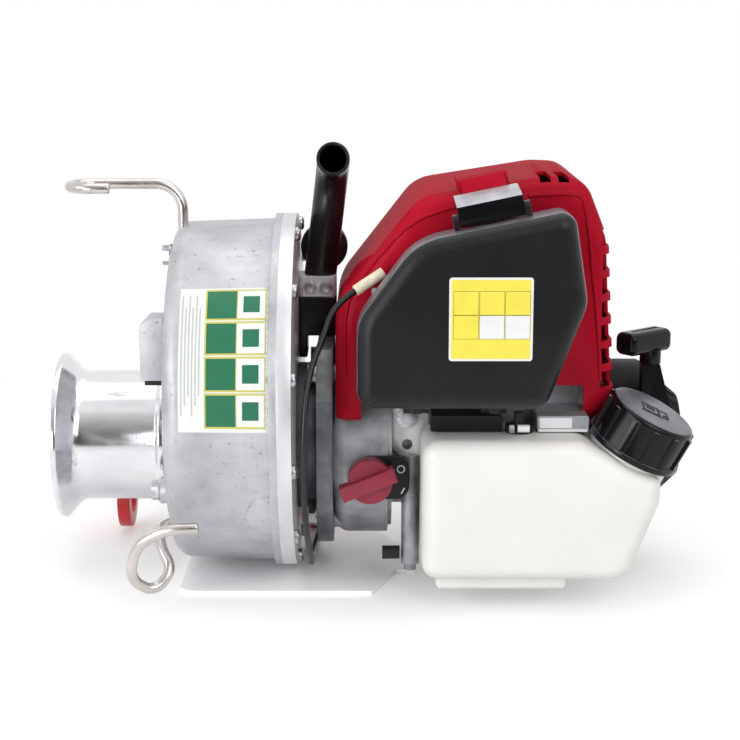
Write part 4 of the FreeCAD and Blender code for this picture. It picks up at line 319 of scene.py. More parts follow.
def blown_tank():
    """Polyethylene, blow moulded and left natural: milky white, waxy and a little see-through."""
    base = tuple(colours().tank)
    made, _, shader = surface("polyethylene_blow_moulded_white", tone(base, 0.95), base, 35 * MM,
                              (0.36, 0.48), 6 * MM, 0.02 * MM)
    set_inputs(shader, {"IOR": 1.51, "Subsurface Weight": 0.3, "Subsurface Scale": 1.0,
                        "Subsurface Radius": (6 * MM, 5 * MM, 4 * MM)})
    return made


def coated_tube():
    """Steel tube, powder coated black: a smooth low gloss with a faint orange peel."""
    made, _, shader = surface("steel_powder_coated_black", linear("#09090A"), linear("#131315"), 20 * MM,
                              (0.26, 0.36), 2.2 * MM, 0.02 * MM)
    set_inputs(shader, {"Specular IOR Level": 0.4})
    return made


def enamelled_hook():
    """Forged steel, painted red: gloss enamel over a slightly lumpy forging."""
    base = tuple(colours().hook)
    return surface("steel_forged_red_enamel", tone(base, 0.85), tone(base, 1.05), 6 * MM, (0.26, 0.38),
                   5 * MM, 0.10 * MM)[0]


def crimson_knob():
    """Acetal, moulded in crimson: an even, slightly waxy gloss."""
    base = tuple(colours().knob)
    return surface("acetal_moulded_crimson", tone(base, 0.92), tone(base, 1.06), 10 * MM, (0.34, 0.44),
                   2 * MM)[0]


def heat_paint():
    """Sheet steel, sprayed with heat-proof paint: dull black that has greyed where it runs hot."""
    return surface("steel_heat_paint_black", linear("#121213"), linear("#2E2D2D"), 22 * MM, (0.55, 0.72),
                   1.2 * MM, 0.05 * MM)[0]


def black_rubber():
    """Nitrile rubber, moulded: dull black with a dusty bloom."""
    return surface("rubber_moulded_black", linear("#0E0E0F"), linear("#1C1C1D"), 6 * MM, (0.55, 0.75),
                   2 * MM)[0]


def beige_sleeve():
    """Vinyl, moulded over a cable end: a dusty cream with a dull sheen."""
    return surface("vinyl_moulded_cream", linear("#C9BCA4"), linear("#E9DFCB"), 6 * MM, (0.45, 0.6),
                   1.5 * MM)[0]


def cable_sheath():
    """PVC, extruded over a wire coil: smooth black with a narrow highlight along it."""
    return surface("pvc_extruded_black", linear("#0B0B0D"), linear("#161618"), 12 * MM, (0.28, 0.40),
                   2 * MM)[0]


def open_foam():
    """Polyurethane foam, cut: dark grey and full of small open cells."""
    cell = 1.5 * MM
    made, tree, shader = surface("polyurethane_foam_cut", linear("#1B1B1B"), linear("#45453F"), 3 * MM,
                                 (0.85, 0.98), cell)
    cells = add_node(tree, "ShaderNodeTexVoronoi", {"Vector": position(tree), "Scale": 1.0 / cell})
    bumped(tree, shader, cells.outputs["Distance"], 0.6 * MM)
    return made


def braided_rope():
    """Polyester, braided: off-white, with slanting strands."""
    strand = 1.5 * MM
    made, tree, shader = surface("polyester_braided_white", linear("#A8A59A"), linear("#E6E3D8"),
                                 2.5 * MM, (0.7, 0.85), 1 * MM)
    strands = add_node(tree, "ShaderNodeTexWave",
                       {"Vector": position(tree), "Scale": 1.0 / strand / math.tau},
                       bands_direction="DIAGONAL")
    bumped(tree, shader, strands.outputs["Fac"], 0.25 * MM)
    return made


def printed_film(name, ink):
    """Vinyl film, printed: one flat ink under a smooth clear layer, a little scuffed."""
    base = tuple(ink)
    return surface(name, tone(base, 0.93), base, 9 * MM, (0.30, 0.42), 2 * MM)[0]


FINISHES = {}


def finish(make, *words):
    """The material that a function makes, made once."""
    key = (make.__name__, *words[:1])
    if key not in FINISHES:
        FINISHES[key] = make(*words)
    return FINISHES[key]


def clear_selection():
    if bpy.context.object and bpy.context.object.mode != "OBJECT":
        bpy.ops.object.mode_set(mode="OBJECT")
    bpy.ops.object.select_all(action="DESELECT")


def take(piece):
    """Select one piece and make it active."""
    clear_selection()
    piece.select_set(True)
    bpy.context.view_layer.objects.active = piece


def paint(piece, material):
    piece.data.materials.clear()
    piece.data.materials.append(material)


def recolour(piece, material, test):
    """Give the faces of a piece that pass a test a second finish."""
    piece.data.materials.append(material)
    for face in piece.data.polygons:
        if test(face):
            face.material_index = 1


def paint_nodes(material, *nodes):
    """Give CAD pieces, whose shape is right as it is, a finish."""
    for name in nodes:
        paint(frame["nodes"][name], material)


def body_of(name):
    """The body that a CAD node rides on."""
    groups = frame["record"]["behaviour"]["bodies"]
    return next(body for body, members in groups.items() if name in members)


def softened(name, edge, material, angle=35.0, segments=3):
    """A copy of a CAD piece with its sharp edges rounded, which stands for it."""
    piece = bpy.data.objects.new(f"{name}.dressed", frame["nodes"][name].data.copy())
    bpy.context.scene.collection.objects.link(piece)
    take(piece)
    if piece.data.has_custom_normals:
        bpy.ops.mesh.customdata_custom_splitnormals_clear()
    bpy.ops.object.mode_set(mode="EDIT")
    bpy.ops.mesh.select_all(action="SELECT")
    bpy.ops.mesh.remove_doubles(threshold=0.002 * MM)
    bpy.ops.mesh.dissolve_limited(angle_limit=math.radians(0.5))
    bpy.ops.object.mode_set(mode="OBJECT")
    bevel = piece.modifiers.new("round", "BEVEL")
    bevel.width = edge
    bevel.segments = segments
    bevel.limit_method = "ANGLE"
    bevel.angle_limit = math.radians(angle)
    bpy.ops.object.modifier_apply(modifier=bevel.name)
    bpy.ops.object.shade_smooth_by_angle(angle=math.radians(angle))
    paint(piece, material)
    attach(piece, body_of(name))
    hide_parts(name)
    return piece


def fix_place():
    """Make the active piece's place, turn and scale part of its shape."""
    bpy.ops.object.transform_apply(location=True, rotation=True, scale=True)


def pick(kind, parts, test):
    """Select the vertices, edges or faces of the active mesh that pass a test, in edit mode."""
    bpy.ops.object.mode_set(mode="EDIT")
    bpy.ops.mesh.select_mode(type=kind)
    bpy.ops.mesh.select_all(action="DESELECT")
    bpy.ops.object.mode_set(mode="OBJECT")
    for part in parts:
        part.select = test(part)
    bpy.ops.object.mode_set(mode="EDIT")


def rounded_plate(low, high, corner, along):
    """A flat plate between two corners, with its four edges along one axis rounded."""
    clear_selection()
    bpy.ops.mesh.primitive_cube_add(size=1.0, location=(low + high) / 2)
    piece = bpy.context.object
    piece.scale = high - low
    fix_place()

    def runs_along(edge):
        start, end = (piece.data.vertices[number].co for number in edge.vertices)
        return abs((start - end)[along]) > 0.99 * (start - end).length

    pick("EDGE", piece.data.edges, runs_along)
    bpy.ops.mesh.bevel(offset=corner, segments=5, affect="EDGES")
    bpy.ops.object.mode_set(mode="OBJECT")
    return piece


def grown(piece, extras):
    """Add small shapes to a piece, in its own finish."""
    for extra in extras:
        paint(extra, piece.data.materials[0])
    take(piece)
    for extra in extras:
        extra.select_set(True)
    bpy.ops.object.join()


def round_bar(start, end, radius):
    """A round bar along X between two places given in millimetres."""
    clear_selection()
    bpy.ops.mesh.primitive_cylinder_add(vertices=64, radius=radius * MM, depth=(end[0] - start[0]) * MM,
                                        location=(mm(*start) + mm(*end)) / 2,
                                        rotation=(0, math.pi / 2, 0))
    fix_place()
    return bpy.context.object


def drawn_line(name, route, steps):
    """A smooth line past places given in millimetres, with some steps between two places."""
    line = bpy.data.curves.new(f"{name}.line", "CURVE")
    line.dimensions = "3D"
    spline = line.splines.new("NURBS")
    spline.points.add(len(route) - 1)
    for point, place in zip(spline.points, route):
        point.co = (*mm(*place), 1.0)
    spline.order_u = 3
    spline.use_endpoint_u = True
    spline.resolution_u = steps
    piece = bpy.data.objects.new(name, line)
    bpy.context.scene.collection.objects.link(piece)
    return piece


def thicken(piece, radius):
    """Make a line a round bar with closed ends."""
    piece.data.bevel_depth = radius * MM
    piece.data.bevel_resolution = 5
    piece.data.use_fill_caps = True


def joined(name, pieces, body):
    """Several small pieces made one, riding on a body."""
    clear_selection()
    for piece in pieces:
        piece.select_set(True)
    bpy.context.view_layer.objects.active = pieces[0]
    if len(pieces) > 1:
        bpy.ops.object.join()
    bpy.ops.object.shade_smooth_by_angle(angle=math.radians(35))
    pieces[0].name = name
    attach(pieces[0], body)
    return pieces[0]


def ray_kinds(tree):
    """Whether a ray comes from the camera, and whether from a mirror or through a clear piece."""
    path = add_node(tree, "ShaderNodeLightPath")
    mirrored = worked(tree, "MAXIMUM", path.outputs["Is Glossy Ray"], path.outputs["Is Transmission Ray"])
    return path.outputs["Is Camera Ray"], mirrored


class WINCH_OT_stage(Operator):
    """Set up the camera, the floor and the soft light"""
    bl_idname = "winch.stage"
    bl_label = "Stage"

    def execute(self, context):
        self.camera(context.scene)
        self.floor()
        self.world(context.scene)
        self.lamps()
        return {"FINISHED"}

    def camera(self, scene):
        """Aim the camera at the winch's middle from the photograph's angle."""
        aim = mm(0, 0, 117)
        lift, reach = sizes().elevation, sizes().distance
        bpy.ops.object.camera_add(location=aim + Vector((0, -math.cos(lift), math.sin(lift))) * reach,
                                  rotation=(math.pi / 2 - lift, 0, 0))
        scene.camera = bpy.context.object
        scene.camera.data.lens = sizes().lens
        scene.camera.data.sensor_width = 36.0
        scene.camera.data.clip_start = 0.05
        scene.view_settings.view_transform = "Standard"

    def floor(self):
        """White paper that keeps a soft shadow by the winch, and beyond it a floor seen as white."""
        clear_selection()
        bpy.ops.mesh.primitive_circle_add(vertices=128, radius=9.0, fill_type="NGON")
        ground = bpy.context.object
        ground.name = "floor"
        made = bpy.data.materials.new("studio_paper_white")
        made.use_nodes = True
        tree = made.node_tree
        tree.nodes.clear()
        axes = add_node(tree, "ShaderNodeSeparateXYZ", {"Vector": position(tree)})
        reach = add_node(tree, "ShaderNodeVectorMath", {0: position(tree)}, operation="LENGTH")
        far = ranged(tree, reach.outputs["Value"], 0.25, 0.60, curve="SMOOTHSTEP")
        # The paper ends in front of the winch, and the floor there is dim to all but the camera.
        front = ranged(tree, axes.outputs["Y"], -0.9, -0.6, 0.06, 1.0, "SMOOTHSTEP")
        camera, mirrored = ray_kinds(tree)
        shown = worked(tree, "MAXIMUM", camera, mirrored)
        level = worked(tree, "MAXIMUM", camera, front)
        white = add_node(tree, "ShaderNodeEmission", {"Strength": level})
        paper = add_node(tree, "ShaderNodeBsdfDiffuse", {"Color": linear("#E8E8E8")})
        glow = add_node(tree, "ShaderNodeEmission", {"Strength": worked(tree, "MULTIPLY", shown, 0.25)})
        near = add_node(tree, "ShaderNodeAddShader", {0: paper.outputs[0], 1: glow.outputs[0]})
        beyond = worked(tree, "MULTIPLY", far, shown)
        whole = add_node(tree, "ShaderNodeMixShader",
                         {0: beyond, 1: near.outputs[0], 2: white.outputs[0]})
        add_node(tree, "ShaderNodeOutputMaterial", {"Surface": whole.outputs[0]})
        paint(ground, made)

    def world(self, scene):
        """A white room, with a dim patch behind the camera that gives polished metal its dark band."""
        room = bpy.data.worlds.new("studio")
        scene.world = room
        room.use_nodes = True
        tree = room.node_tree
        tree.nodes.clear()
        place = add_node(tree, "ShaderNodeTexCoord")
        axes = add_node(tree, "ShaderNodeSeparateXYZ", {"Vector": place.outputs["Generated"]})
        high = ranged(tree, axes.outputs["Z"], 0.2, 0.98)
        aside = ranged(tree, axes.outputs["Y"], -0.85, -0.5, curve="SMOOTHSTEP")
        seen = ranged(tree, worked(tree, "MAXIMUM", high, aside), 0.0, 1.0, 0.08, 1.0)
        camera, mirrored = ray_kinds(tree)
        inner = add_node(tree, "ShaderNodeMix", {"Factor": mirrored, "A": 0.68, "B": seen})
        level = worked(tree, "MAXIMUM", camera, inner.outputs["Result"])
        back = add_node(tree, "ShaderNodeBackground", {"Color": (1, 1, 1, 1), "Strength": level})
        add_node(tree, "ShaderNodeOutputWorld", {"Surface": back.outputs["Background"]})

    def lamps(self):
        """Soft boxes: a key at the right, a fill at the left, one overhead and a low one in front."""
        aim = Vector((0, 0, 0.1))
        boxes = (("key", (0.7, -1.3, 0.95), 1.1, 9.0), ("fill", (-1.4, -1.1, 0.7), 1.0, 9.0),
                 ("top", (0.1, 0.2, 1.6), 1.4, 7.0), ("low", (-0.5, -0.8, 0.16), 0.3, 2.0))
        for name, place, size, power in boxes:
            bpy.ops.object.light_add(type="AREA", location=place)
            lamp = bpy.context.object
            lamp.name = name
            lamp.data.size = size
            lamp.data.energy = power
            lamp.rotation_euler = (aim - Vector(place)).to_track_quat("-Z", "Y").to_euler()


class WINCH_OT_gear_case(Operator):
    """Finish the base plate, the gear case and its cover, and lay the bare film on the case"""
    bl_idname = "winch.gear_case"
    bl_label = "Gear case"

    def execute(self, context):
        fine, edge = sizes().fine_edge, sizes().edge
        softened("base_plate", fine, finish(plate_with_painted_reflection))
        softened("gear_case", edge, finish(blasted_casting))
        softened("case_cover", edge, finish(milled_casting))
        paint_nodes(finish(plated_steel), "cover_screws")
        self.film()
        return {"FINISHED"}

    def sheet(self, left, right, low, high, layer, material):
        """A thin sheet on the case's round side, between two X places and two angles above level."""
        front, radius, widening = -112.0, 98.0, 2.0 / 62.0
        middle = mm(0, 0, 106)
        lift = 0.12 + 0.1 * layer
        near, far = (radius + widening * (place - front) + lift for place in (left, right))
        clear_selection()
        bpy.ops.mesh.primitive_cone_add(vertices=360, radius1=near * MM, radius2=far * MM,
                                        depth=(right - left) * MM, end_fill_type="NOTHING",
                                        location=middle + mm((left + right) / 2, 0, 0),
                                        rotation=(0, math.pi / 2, 0))
        piece = bpy.context.object
        fix_place()
        bpy.ops.object.mode_set(mode="EDIT")
        cuts = [(0, side * math.sin(math.radians(turn)), side * math.cos(math.radians(turn)))
                for turn, side in ((low, 1.0), (high, -1.0))]
        for away in (*cuts, (0, -1, 0)):
            bpy.ops.mesh.select_all(action="SELECT")
            bpy.ops.mesh.bisect(plane_co=middle, plane_no=away, clear_inner=True)
        bpy.ops.mesh.select_all(action="SELECT")
        bpy.ops.mesh.normals_make_consistent(inside=False)
        bpy.ops.object.mode_set(mode="OBJECT")
        skin = piece.modifiers.new("film", "SOLIDIFY")
        skin.thickness = sizes().film
        bpy.ops.object.modifier_apply(modifier=skin.name)
        paint(piece, material)
        return piece

    def film(self):
        """The place of a printed label: a white film with four bare green blocks in thin frames."""
        white = finish(printed_film, "vinyl_film_white", linear("#D9DBD9"))
        green = finish(printed_film, "vinyl_film_green", colours().print_green)
        straw = finish(printed_film, "vinyl_film_straw", linear("#BDB85C"))
        grey = finish(printed_film, "vinyl_film_grey", linear("#AEB4B2"))
        sheets = [self.sheet(-102.3, -54.8, -1.2, 45.6, 0, white)]
        line_pitch, line_width = 1.9, 0.7
        for line in range(6):
            left, low, high = -101.0 + line_pitch * line, 4.0 + 3.1 * (line % 3), 43.0 - 4.3 * (line % 2)
            sheets.append(self.sheet(left, left + line_width, low, high, 1, grey))
        row_pitch, row_height, frame_width, inset = 11.35, 10.9, 0.6, 2.6
        for row in range(4):
            high = 45.0 - row_pitch * row
            low = high - row_height
            sheets.append(self.sheet(-88.4, -55.4, low, high, 1, straw))
            sheets.append(self.sheet(-87.5, -71.6, low + frame_width, high - frame_width, 2, green))
            sheets.append(self.sheet(-71.0, -56.2, low + frame_width, high - frame_width, 2, white))
            sheets.append(self.sheet(-68.0, -59.2, low + inset, high - inset, 3, green))
        joined("case_film", sheets, "frame")


class WINCH_OT_drum(Operator):
    """Finish the capstan drum and its bolt"""
    bl_idname = "winch.drum"
    bl_label = "Drum"

    def execute(self, context):
        softened("capstan_drum", sizes().fine_edge, finish(turned_aluminium))
        softened("drum_bolt", sizes().fine_edge, finish(plated_steel))
        return {"FINISHED"}


class WINCH_OT_inner_works(Operator):
    """Finish the shafts, gears, bearings and clutch inside the winch"""
    bl_idname = "winch.inner_works"
    bl_label = "Inner works"

    def execute(self, context):
        paint_nodes(finish(ground_steel), "output_shaft", "drum_bearings", "train_bearings",
                    "input_shaft", "first_gear", "stub_axle", "second_gear", "lay_shaft", "output_gear",
                    "clutch_drum", "clutch_shoes", "crankshaft")
        paint_nodes(finish(rough_casting, *RAW_CASTING), "flywheel", "cylinder")
        paint_nodes(finish(plated_steel), "spark_plug", "hinge_pins")
        paint_nodes(finish(black_rubber), "shaft_seal")
        return {"FINISHED"}


class WINCH_OT_engine_mount(Operator):
    """Finish the clutch housing, the engine plate, the side bracket and the hexagon bolts"""
    bl_idname = "winch.engine_mount"
    bl_label = "Engine mount"

    def execute(self, context):
        fine = sizes().fine_edge
        softened("clutch_housing", fine, finish(rough_casting, *DARK_CASTING))
        softened("engine_plate", sizes().edge, finish(rough_casting, *DULL_CASTING))
        softened("hex_bolts", fine, finish(plated_steel))
        bracket = softened("side_bracket", fine, finish(milled_casting))
        recolour(bracket, finish(rough_casting, *RAW_CASTING), lambda face: face.center.z < 62 * MM)
        stub = round_bar((7.0, -46, 20), (17.0, -46, 20), 3.8)
        paint(stub, finish(black_rubber))
        joined("bracket_stub", [stub], "frame")
        return {"FINISHED"}


class WINCH_OT_rope_guides(Operator):
    """Finish the bent rope guides and the rope block"""
    bl_idname = "winch.rope_guides"
    bl_label = "Rope guides"

    def execute(self, context):
        for name in ("upper_rope_guide", "lower_rope_guide"):
            softened(name, sizes().edge, finish(drawn_rod), 50.0)
        softened("rope_block", sizes().fine_edge, finish(blasted_casting))
        softened("block_pad", sizes().fine_edge, finish(black_rubber))
        return {"FINISHED"}


class WINCH_OT_anchor_hooks(Operator):
    """Finish the anchor posts and their hooks"""
    bl_idname = "winch.anchor_hooks"
    bl_label = "Anchor hooks"

    def execute(self, context):
        softened("anchor_posts", sizes().fine_edge, finish(plated_steel))
        for name in ("front_hook", "rear_hook"):
            softened(name, 1.6 * sizes().edge, finish(enamelled_hook))
        return {"FINISHED"}


class WINCH_OT_handle(Operator):
    """Finish the carrying handle, its clamp and its bracket"""
    bl_idname = "winch.handle"
    bl_label = "Handle"

    def execute(self, context):
        softened("handle_tube", sizes().fine_edge, finish(coated_tube), 50.0)
        softened("handle_clamp", sizes().fine_edge, finish(milled_casting))
        softened("handle_bracket", sizes().edge, finish(coated_tube))
        return {"FINISHED"}


class WINCH_OT_throttle(Operator):
    """Lay the throttle cable and finish its control, lever and sleeve"""
    bl_idname = "winch.throttle"
    bl_label = "Throttle"

    def execute(self, context):
        softened("throttle_body", sizes().edge, finish(grained_nylon))
        softened("throttle_lever", sizes().fine_edge, finish(plated_steel))
        softened("throttle_arm", sizes().fine_edge, finish(plated_steel))
        softened("cable_ferrule", sizes().fine_edge, finish(beige_sleeve))
        self.cable()
        return {"FINISHED"}

    def cable(self):
        """The cable runs from the carburettor down round the case and up to the lever."""
        route = ((-8, -72.5, 176), (-19.5, -75.9, 168.8), (-24.8, -82, 153), (-32.2, -90, 136),
                 (-34.8, -97.8, 117), (-35.8, -101, 87), (-35.3, -92, 49.8), (-32.8, -60, 18.8),
                 (-34.5, -30, 8.5), (-33, 7, 8.5), (-27, 42, 20), (-23.3, 56.5, 46), (-23.3, 56.5, 82),
                 (-25, 51, 116), (-27.2, 44, 145), (-27.4, 38.5, 170.9))
        radius, length = 1.75, 0.4438
        piece = drawn_line("throttle_cable.dressed", route, 8)
        thicken(piece, radius)
        paint(piece, finish(cable_sheath))
        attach(piece, "frame")
        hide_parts("throttle_cable")


class WINCH_OT_engine(Operator):
    """Finish the crankcase, the shroud, the carburettor and the muffler"""
    bl_idname = "winch.engine"
    bl_label = "Engine"

    def execute(self, context):
        edge = sizes().edge
        self.crankcase()
        shell = softened("engine_shroud", edge, finish(glossy_shroud))
        softened("muffler", edge, finish(heat_paint))
        softened("muffler_guard", sizes().fine_edge, finish(heat_paint))
        softened("carburettor", edge, finish(rough_casting, *RAW_CASTING))
        self.beads(shell)
        return {"FINISHED"}

    def crankcase(self):
        """The engine's casting, with its rounded fan case and a boss that carries bare plates."""
        body = softened("crankcase", sizes().edge, finish(rough_casting, *RAW_CASTING))
        bowl = round_bar((7.5, 0, 81), (12.3, 0, 81), 56.0)
        boss = rounded_plate(mm(91.5, -75.7, 98.5), mm(119.5, -45, 107.4), 1.2 * MM, 1)
        grown(body, [bowl, boss])
        pads = []
        for left, right, low, high in ((92.6, 110.4, 100.6, 106.4), (92.0, 119.0, 98.6, 100.1)):
            pads.append(rounded_plate(mm(left, -76.1, low), mm(right, -75.4, high), 0.7 * MM, 1))
            paint(pads[-1], finish(printed_film, "aluminium_film_grey", linear("#DADCDE")))
        joined("marking_pads", pads, "frame")

    def beads(self, shell):
        """The raised line round the air cleaner's place, laid on the shroud as a thin bead."""
        left = ((-16, 126), (-16, 144.3), (-14.8, 169.5), (-9.9, 185.1), (4.4, 202.1), (24, 214.1),
                (46, 221))
        right = ((85.5, 226.6), (108, 228.2), (116.5, 226.5), (118, 218), (120.2, 191.6), (126, 152.7),
                 (127.5, 124.5))
        start_y, thickness = -64, 1.1
        beads = []
        for route in (left, right):
            bead = drawn_line("bead", [(x, start_y, z) for x, z in route], 12)
            take(bead)
            bpy.ops.object.convert(target="MESH")
            wrap = bead.modifiers.new("lay", "SHRINKWRAP")
            wrap.target = shell
            bpy.ops.object.modifier_apply(modifier=wrap.name)
            bpy.ops.object.convert(target="CURVE")
            thicken(bead, thickness)
            bpy.ops.object.convert(target="MESH")
            paint(bead, finish(glossy_shroud))
            beads.append(bead)
        joined("shroud_beads", beads, "frame")


class WINCH_OT_air_cleaner(Operator):
    """Finish the air cleaner's case, cover, latch and filter, and put the bare film on the cover"""
    bl_idname = "winch.air_cleaner"
    bl_label = "Air cleaner"

    def execute(self, context):
        edge = sizes().edge
        case = softened("cleaner_case", edge, finish(grained_nylon))
        grown(case, [rounded_plate(mm(33, -75.5, 98.6), mm(72.5, -58, 107.4), 1.0 * MM, 1)])
        cover = softened("cleaner_cover", edge, finish(grained_nylon))
        # Painted sheen: the cover's rim faces, turned away from the front, are painted a lighter grey as
        # a highlight.
        recolour(cover, finish(sheen_painted_nylon, *GREY_SHEEN_NYLON), lambda face: abs(face.normal.y) < 0.3)
        latch = softened("cover_latch", edge, finish(glossy_nylon))
        # Painted highlight: the latch's upward faces are painted pale grey as if lit from above.
        recolour(latch, finish(sheen_painted_nylon, *PALE_SHEEN_NYLON), lambda face: face.normal.z > 0.8)
        paint_nodes(finish(open_foam), "filter_element")
        self.film()
        return {"FINISHED"}

    def film(self):
        """The place of the printed pictures: a white-edged yellow film with six bare cells."""
        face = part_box("cleaner_cover")[0].y / MM
        white = finish(printed_film, "vinyl_film_white", linear("#D9DBD9"))
        yellow = finish(printed_film, "vinyl_film_yellow", colours().print_yellow)
        lines = finish(printed_film, "vinyl_film_line", linear("#7A7024"))
        pieces = []

        def lay(left, right, low, high, layer, corner, material):
            out = face - 0.05 - 0.08 * layer
            piece = rounded_plate(mm(left, out - 0.08, low), mm(right, out + 0.3, high), corner * MM, 1)
            paint(piece, material)
            pieces.append(piece)

        lay(41.0, 84.6, 145.2, 189.2, 0, 1.6, white)
        lay(42.2, 83.4, 146.4, 188.0, 1, 1.0, yellow)
        wide, tall, line_width = 13.1, 12.6, 0.22
        for row in range(2):
            for column in range(3):
                left, low = 43.3 + 13.4 * column, 156.8 + 12.7 * row
                right, high = left + wide, low + tall
                plain = white if row == 0 and column > 0 else yellow
                lay(left, right, low, high, 2, 0.2, lines)
                lay(left + line_width, right - line_width, low + line_width, high - line_width, 3, 0.15,
                    plain)
        joined("cover_film", pieces, body_of("cleaner_cover"))


class WINCH_OT_fuel_tank(Operator):
    """Finish the fuel tank, its fitting and its cap"""
    bl_idname = "winch.fuel_tank"
    bl_label = "Fuel tank"
    # The filler neck leans out to the right and a little forward.
    axis = Vector((0.44238, -0.15455, 0.88341))

    def execute(self, context):
        softened("fuel_tank", 2.0 * sizes().edge, finish(blown_tank))
        softened("fuel_fitting", sizes().fine_edge, finish(black_rubber))
        cap = softened("fuel_cap", sizes().edge, finish(glossy_nylon))
        # Painted sheen: the cap's crown, square to the filler's axis, is painted grey as a highlight.
        recolour(cap, finish(sheen_painted_nylon, *GREY_SHEEN_NYLON), lambda face: face.normal.dot(self.axis) > 0.9)
        self.hose_clip()
        self.pump_glyph()
        return {"FINISHED"}

    def hose_clip(self):
        """A plated clip and the end of a clear hose beside the fitting."""
        clip = rounded_plate(mm(75.6, -82.2, 99.4), mm(78.4, -80.4, 103.8), 0.6 * MM, 1)
        paint(clip, finish(plated_steel))
        hose = round_bar((80.2, -81.4, 101.8), (86.6, -81.4, 101.8), 2.1)
        paint(hose, finish(printed_film, "vinyl_hose_clear", linear("#E4E6E6")))
        joined("hose_clip", [clip, hose], "frame")

    def pump_glyph(self):
        """A plain fuel pump sign raised on the cap's crown."""
        bars = ((-7.4, -5.2, 3.0, -4.2), (-7.4, 4.2, 3.0, 5.2), (-7.4, -5.2, -6.4, 5.2),
                (2.0, -5.2, 3.0, 5.2), (-4.8, -1.0, 0.4, 2.4), (-8.8, -6.8, 4.4, -5.8),
                (3.0, 3.0, 8.4, 3.9), (7.5, -2.6, 8.4, 3.9))
        strokes = [rounded_plate(mm(left, low, -0.3), mm(right, high, 0.25), 0.3 * MM, 2)
                   for left, low, right, high in bars]
        clear_selection()
        bpy.ops.mesh.primitive_torus_add(major_radius=1.7 * MM, minor_radius=0.42 * MM,
                                         major_segments=32, minor_segments=8, location=mm(6.6, -3.4, 0))
        strokes.append(bpy.context.object)
        fix_place()
        glyph = joined("pump_glyph", strokes, "cap")
        paint(glyph, finish(black_rubber))
        # The crown lies square to the filler's axis, 25 mm above its seat.
        seat, axis, height = mm(143.933, -72.85, 88.587), self.axis, 25.0
        across = (Vector((1, 0, 0)) - axis * axis.x).normalized()
        turn = Matrix((across, axis.cross(across), axis)).transposed().to_4x4()
        glyph.matrix_world = Matrix.Translation(seat + axis * height * MM) @ turn
        take(glyph)
        fix_place()


class WINCH_OT_recoil_starter(Operator):
    """Finish the recoil starter's case, grip, rope and reel"""
    bl_idname = "winch.recoil_starter"
    bl_label = "Recoil starter"

    def execute(self, context):
        self.domed(softened("recoil_case", sizes().edge, finish(matt_nylon)))
        self.hollow(softened("starter_grip", sizes().fine_edge, finish(glossy_nylon)))
        paint_nodes(finish(grained_nylon), "starter_reel")
        self.rope()
        return {"FINISHED"}

    def rope(self):
        """The starter's rope, which is drawn out between the case's mouth and the grip."""
        low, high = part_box("starter_rope")
        middle, radius = (low + high) / 2 / MM, (high.x - low.x) / 2 / MM
        rings = 40
        heights = [(low.z + (high.z - low.z) * ring / rings) / MM for ring in range(rings + 1)]
        route = [(middle.x, middle.y, height) for height in heights]
        piece = drawn_line("starter_rope.dressed", route, 2)
        thicken(piece, radius)
        take(piece)
        bpy.ops.object.convert(target="MESH")
        paint(piece, finish(braided_rope))
        bpy.ops.object.shade_smooth()
        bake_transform(piece)
        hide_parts("starter_rope")

    def domed(self, case):
        """Draw the case's outer end in towards the crank's line, less and less away from the end."""
        past, scale, reach = 176.0, 0.78, 20.0
        take(case)
        pick("VERT", case.data.vertices, lambda point: point.co.x > past * MM)
        bpy.ops.transform.resize(value=(1.0, scale, scale), center_override=mm(past, 0, 81),
                                 use_proportional_edit=True, proportional_edit_falloff="SMOOTH",
                                 proportional_size=reach * MM)
        bpy.ops.object.mode_set(mode="OBJECT")

    def hollow(self, grip):
        """Sink the grip's top, as a moulded handle of even wall has it."""
        top = max(grip.data.polygons, key=lambda face: face.area * face.normal.z).index
        take(grip)
        pick("FACE", grip.data.polygons, lambda face: face.index == top)
        bpy.ops.mesh.inset(thickness=2.2 * MM)
        bpy.ops.mesh.inset(thickness=0.4 * MM, depth=-4.0 * MM)
        bpy.ops.object.mode_set(mode="OBJECT")


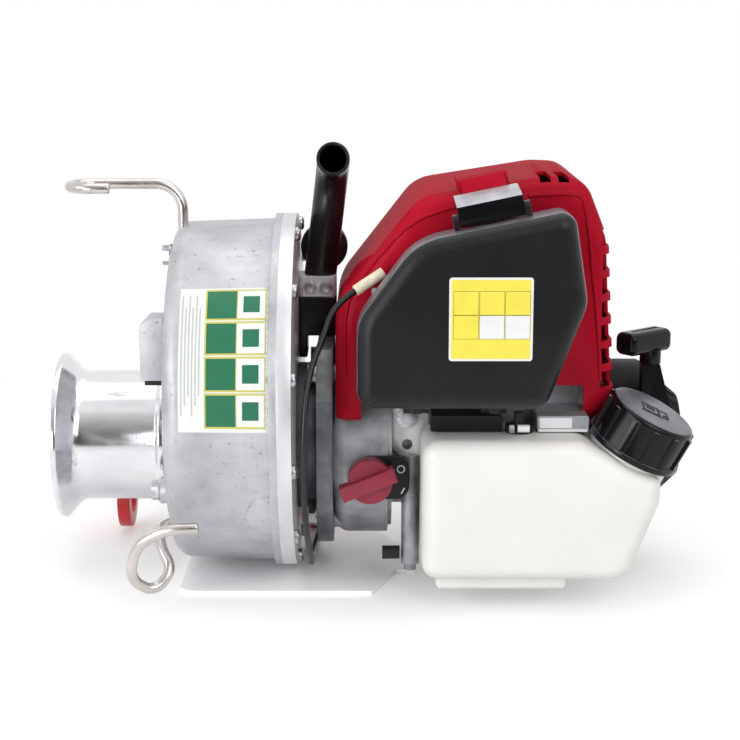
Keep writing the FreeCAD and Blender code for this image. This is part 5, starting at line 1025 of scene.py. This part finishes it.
class WINCH_OT_stop_switch(Operator):
    """Finish the stop switch's plate and knob, with its O and I marks"""
    bl_idname = "winch.stop_switch"
    bl_label = "Stop switch"

    def execute(self, context):
        softened("switch_plate", sizes().fine_edge, finish(grained_nylon))
        softened("stop_knob", sizes().edge, finish(crimson_knob))
        self.marks()
        return {"FINISHED"}

    def marks(self):
        """A painted ring for off and a slanted bar for on."""
        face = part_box("switch_plate")[0].y
        white = finish(printed_film, "vinyl_film_white", linear("#D9DBD9"))
        clear_selection()
        bpy.ops.mesh.primitive_torus_add(major_radius=2.0 * MM, minor_radius=0.32 * MM,
                                         major_segments=40, minor_segments=8,
                                         location=(17.3 * MM, face, 73.1 * MM),
                                         rotation=(math.pi / 2, 0, 0))
        ring = bpy.context.object
        ring.scale.z = 0.3
        fix_place()
        bar = rounded_plate(mm(-0.32, -0.1, -1.9), mm(0.32, 0.1, 1.9), 0.2 * MM, 1)
        bar.location = (18.4 * MM, face, 60.6 * MM)
        bar.rotation_euler = (0, math.radians(28), 0)
        take(bar)
        fix_place()
        for mark in (ring, bar):
            paint(mark, white)
        joined("switch_marks", [ring, bar], "frame")


class WINCH_PT_panel(Panel):
    """Lists the winch's pieces and sizes"""
    bl_idname = "WINCH_PT_panel"
    bl_label = "Winch"
    bl_space_type = "VIEW_3D"
    bl_region_type = "UI"
    bl_category = "Winch"

    def draw(self, context):
        for group in (context.scene.winch_sizes, context.scene.winch_colours):
            for name in group.__annotations__:
                self.layout.prop(group, name)
        for piece in PIECES:
            self.layout.operator(piece.bl_idname)


PIECES = (WINCH_OT_stage, WINCH_OT_throttle, WINCH_OT_gear_case, WINCH_OT_drum, WINCH_OT_inner_works,
          WINCH_OT_engine_mount, WINCH_OT_rope_guides, WINCH_OT_anchor_hooks, WINCH_OT_handle,
          WINCH_OT_engine, WINCH_OT_air_cleaner, WINCH_OT_fuel_tank, WINCH_OT_recoil_starter,
          WINCH_OT_stop_switch)
CLASSES = (WinchSizes, WinchColours, *PIECES, WINCH_PT_panel)


def register():
    for made in CLASSES:
        bpy.utils.register_class(made)
    bpy.types.Scene.winch_sizes = PointerProperty(type=WinchSizes)
    bpy.types.Scene.winch_colours = PointerProperty(type=WinchColours)


def unregister():
    del bpy.types.Scene.winch_colours
    del bpy.types.Scene.winch_sizes
    for made in reversed(CLASSES):
        bpy.utils.unregister_class(made)


def main():
    """Register the add-on and make the pieces in order."""
    register()
    for piece in PIECES:
        group, name = piece.bl_idname.split(".")
        getattr(getattr(bpy.ops, group), name)()


if __name__ == "__main__":
    main()
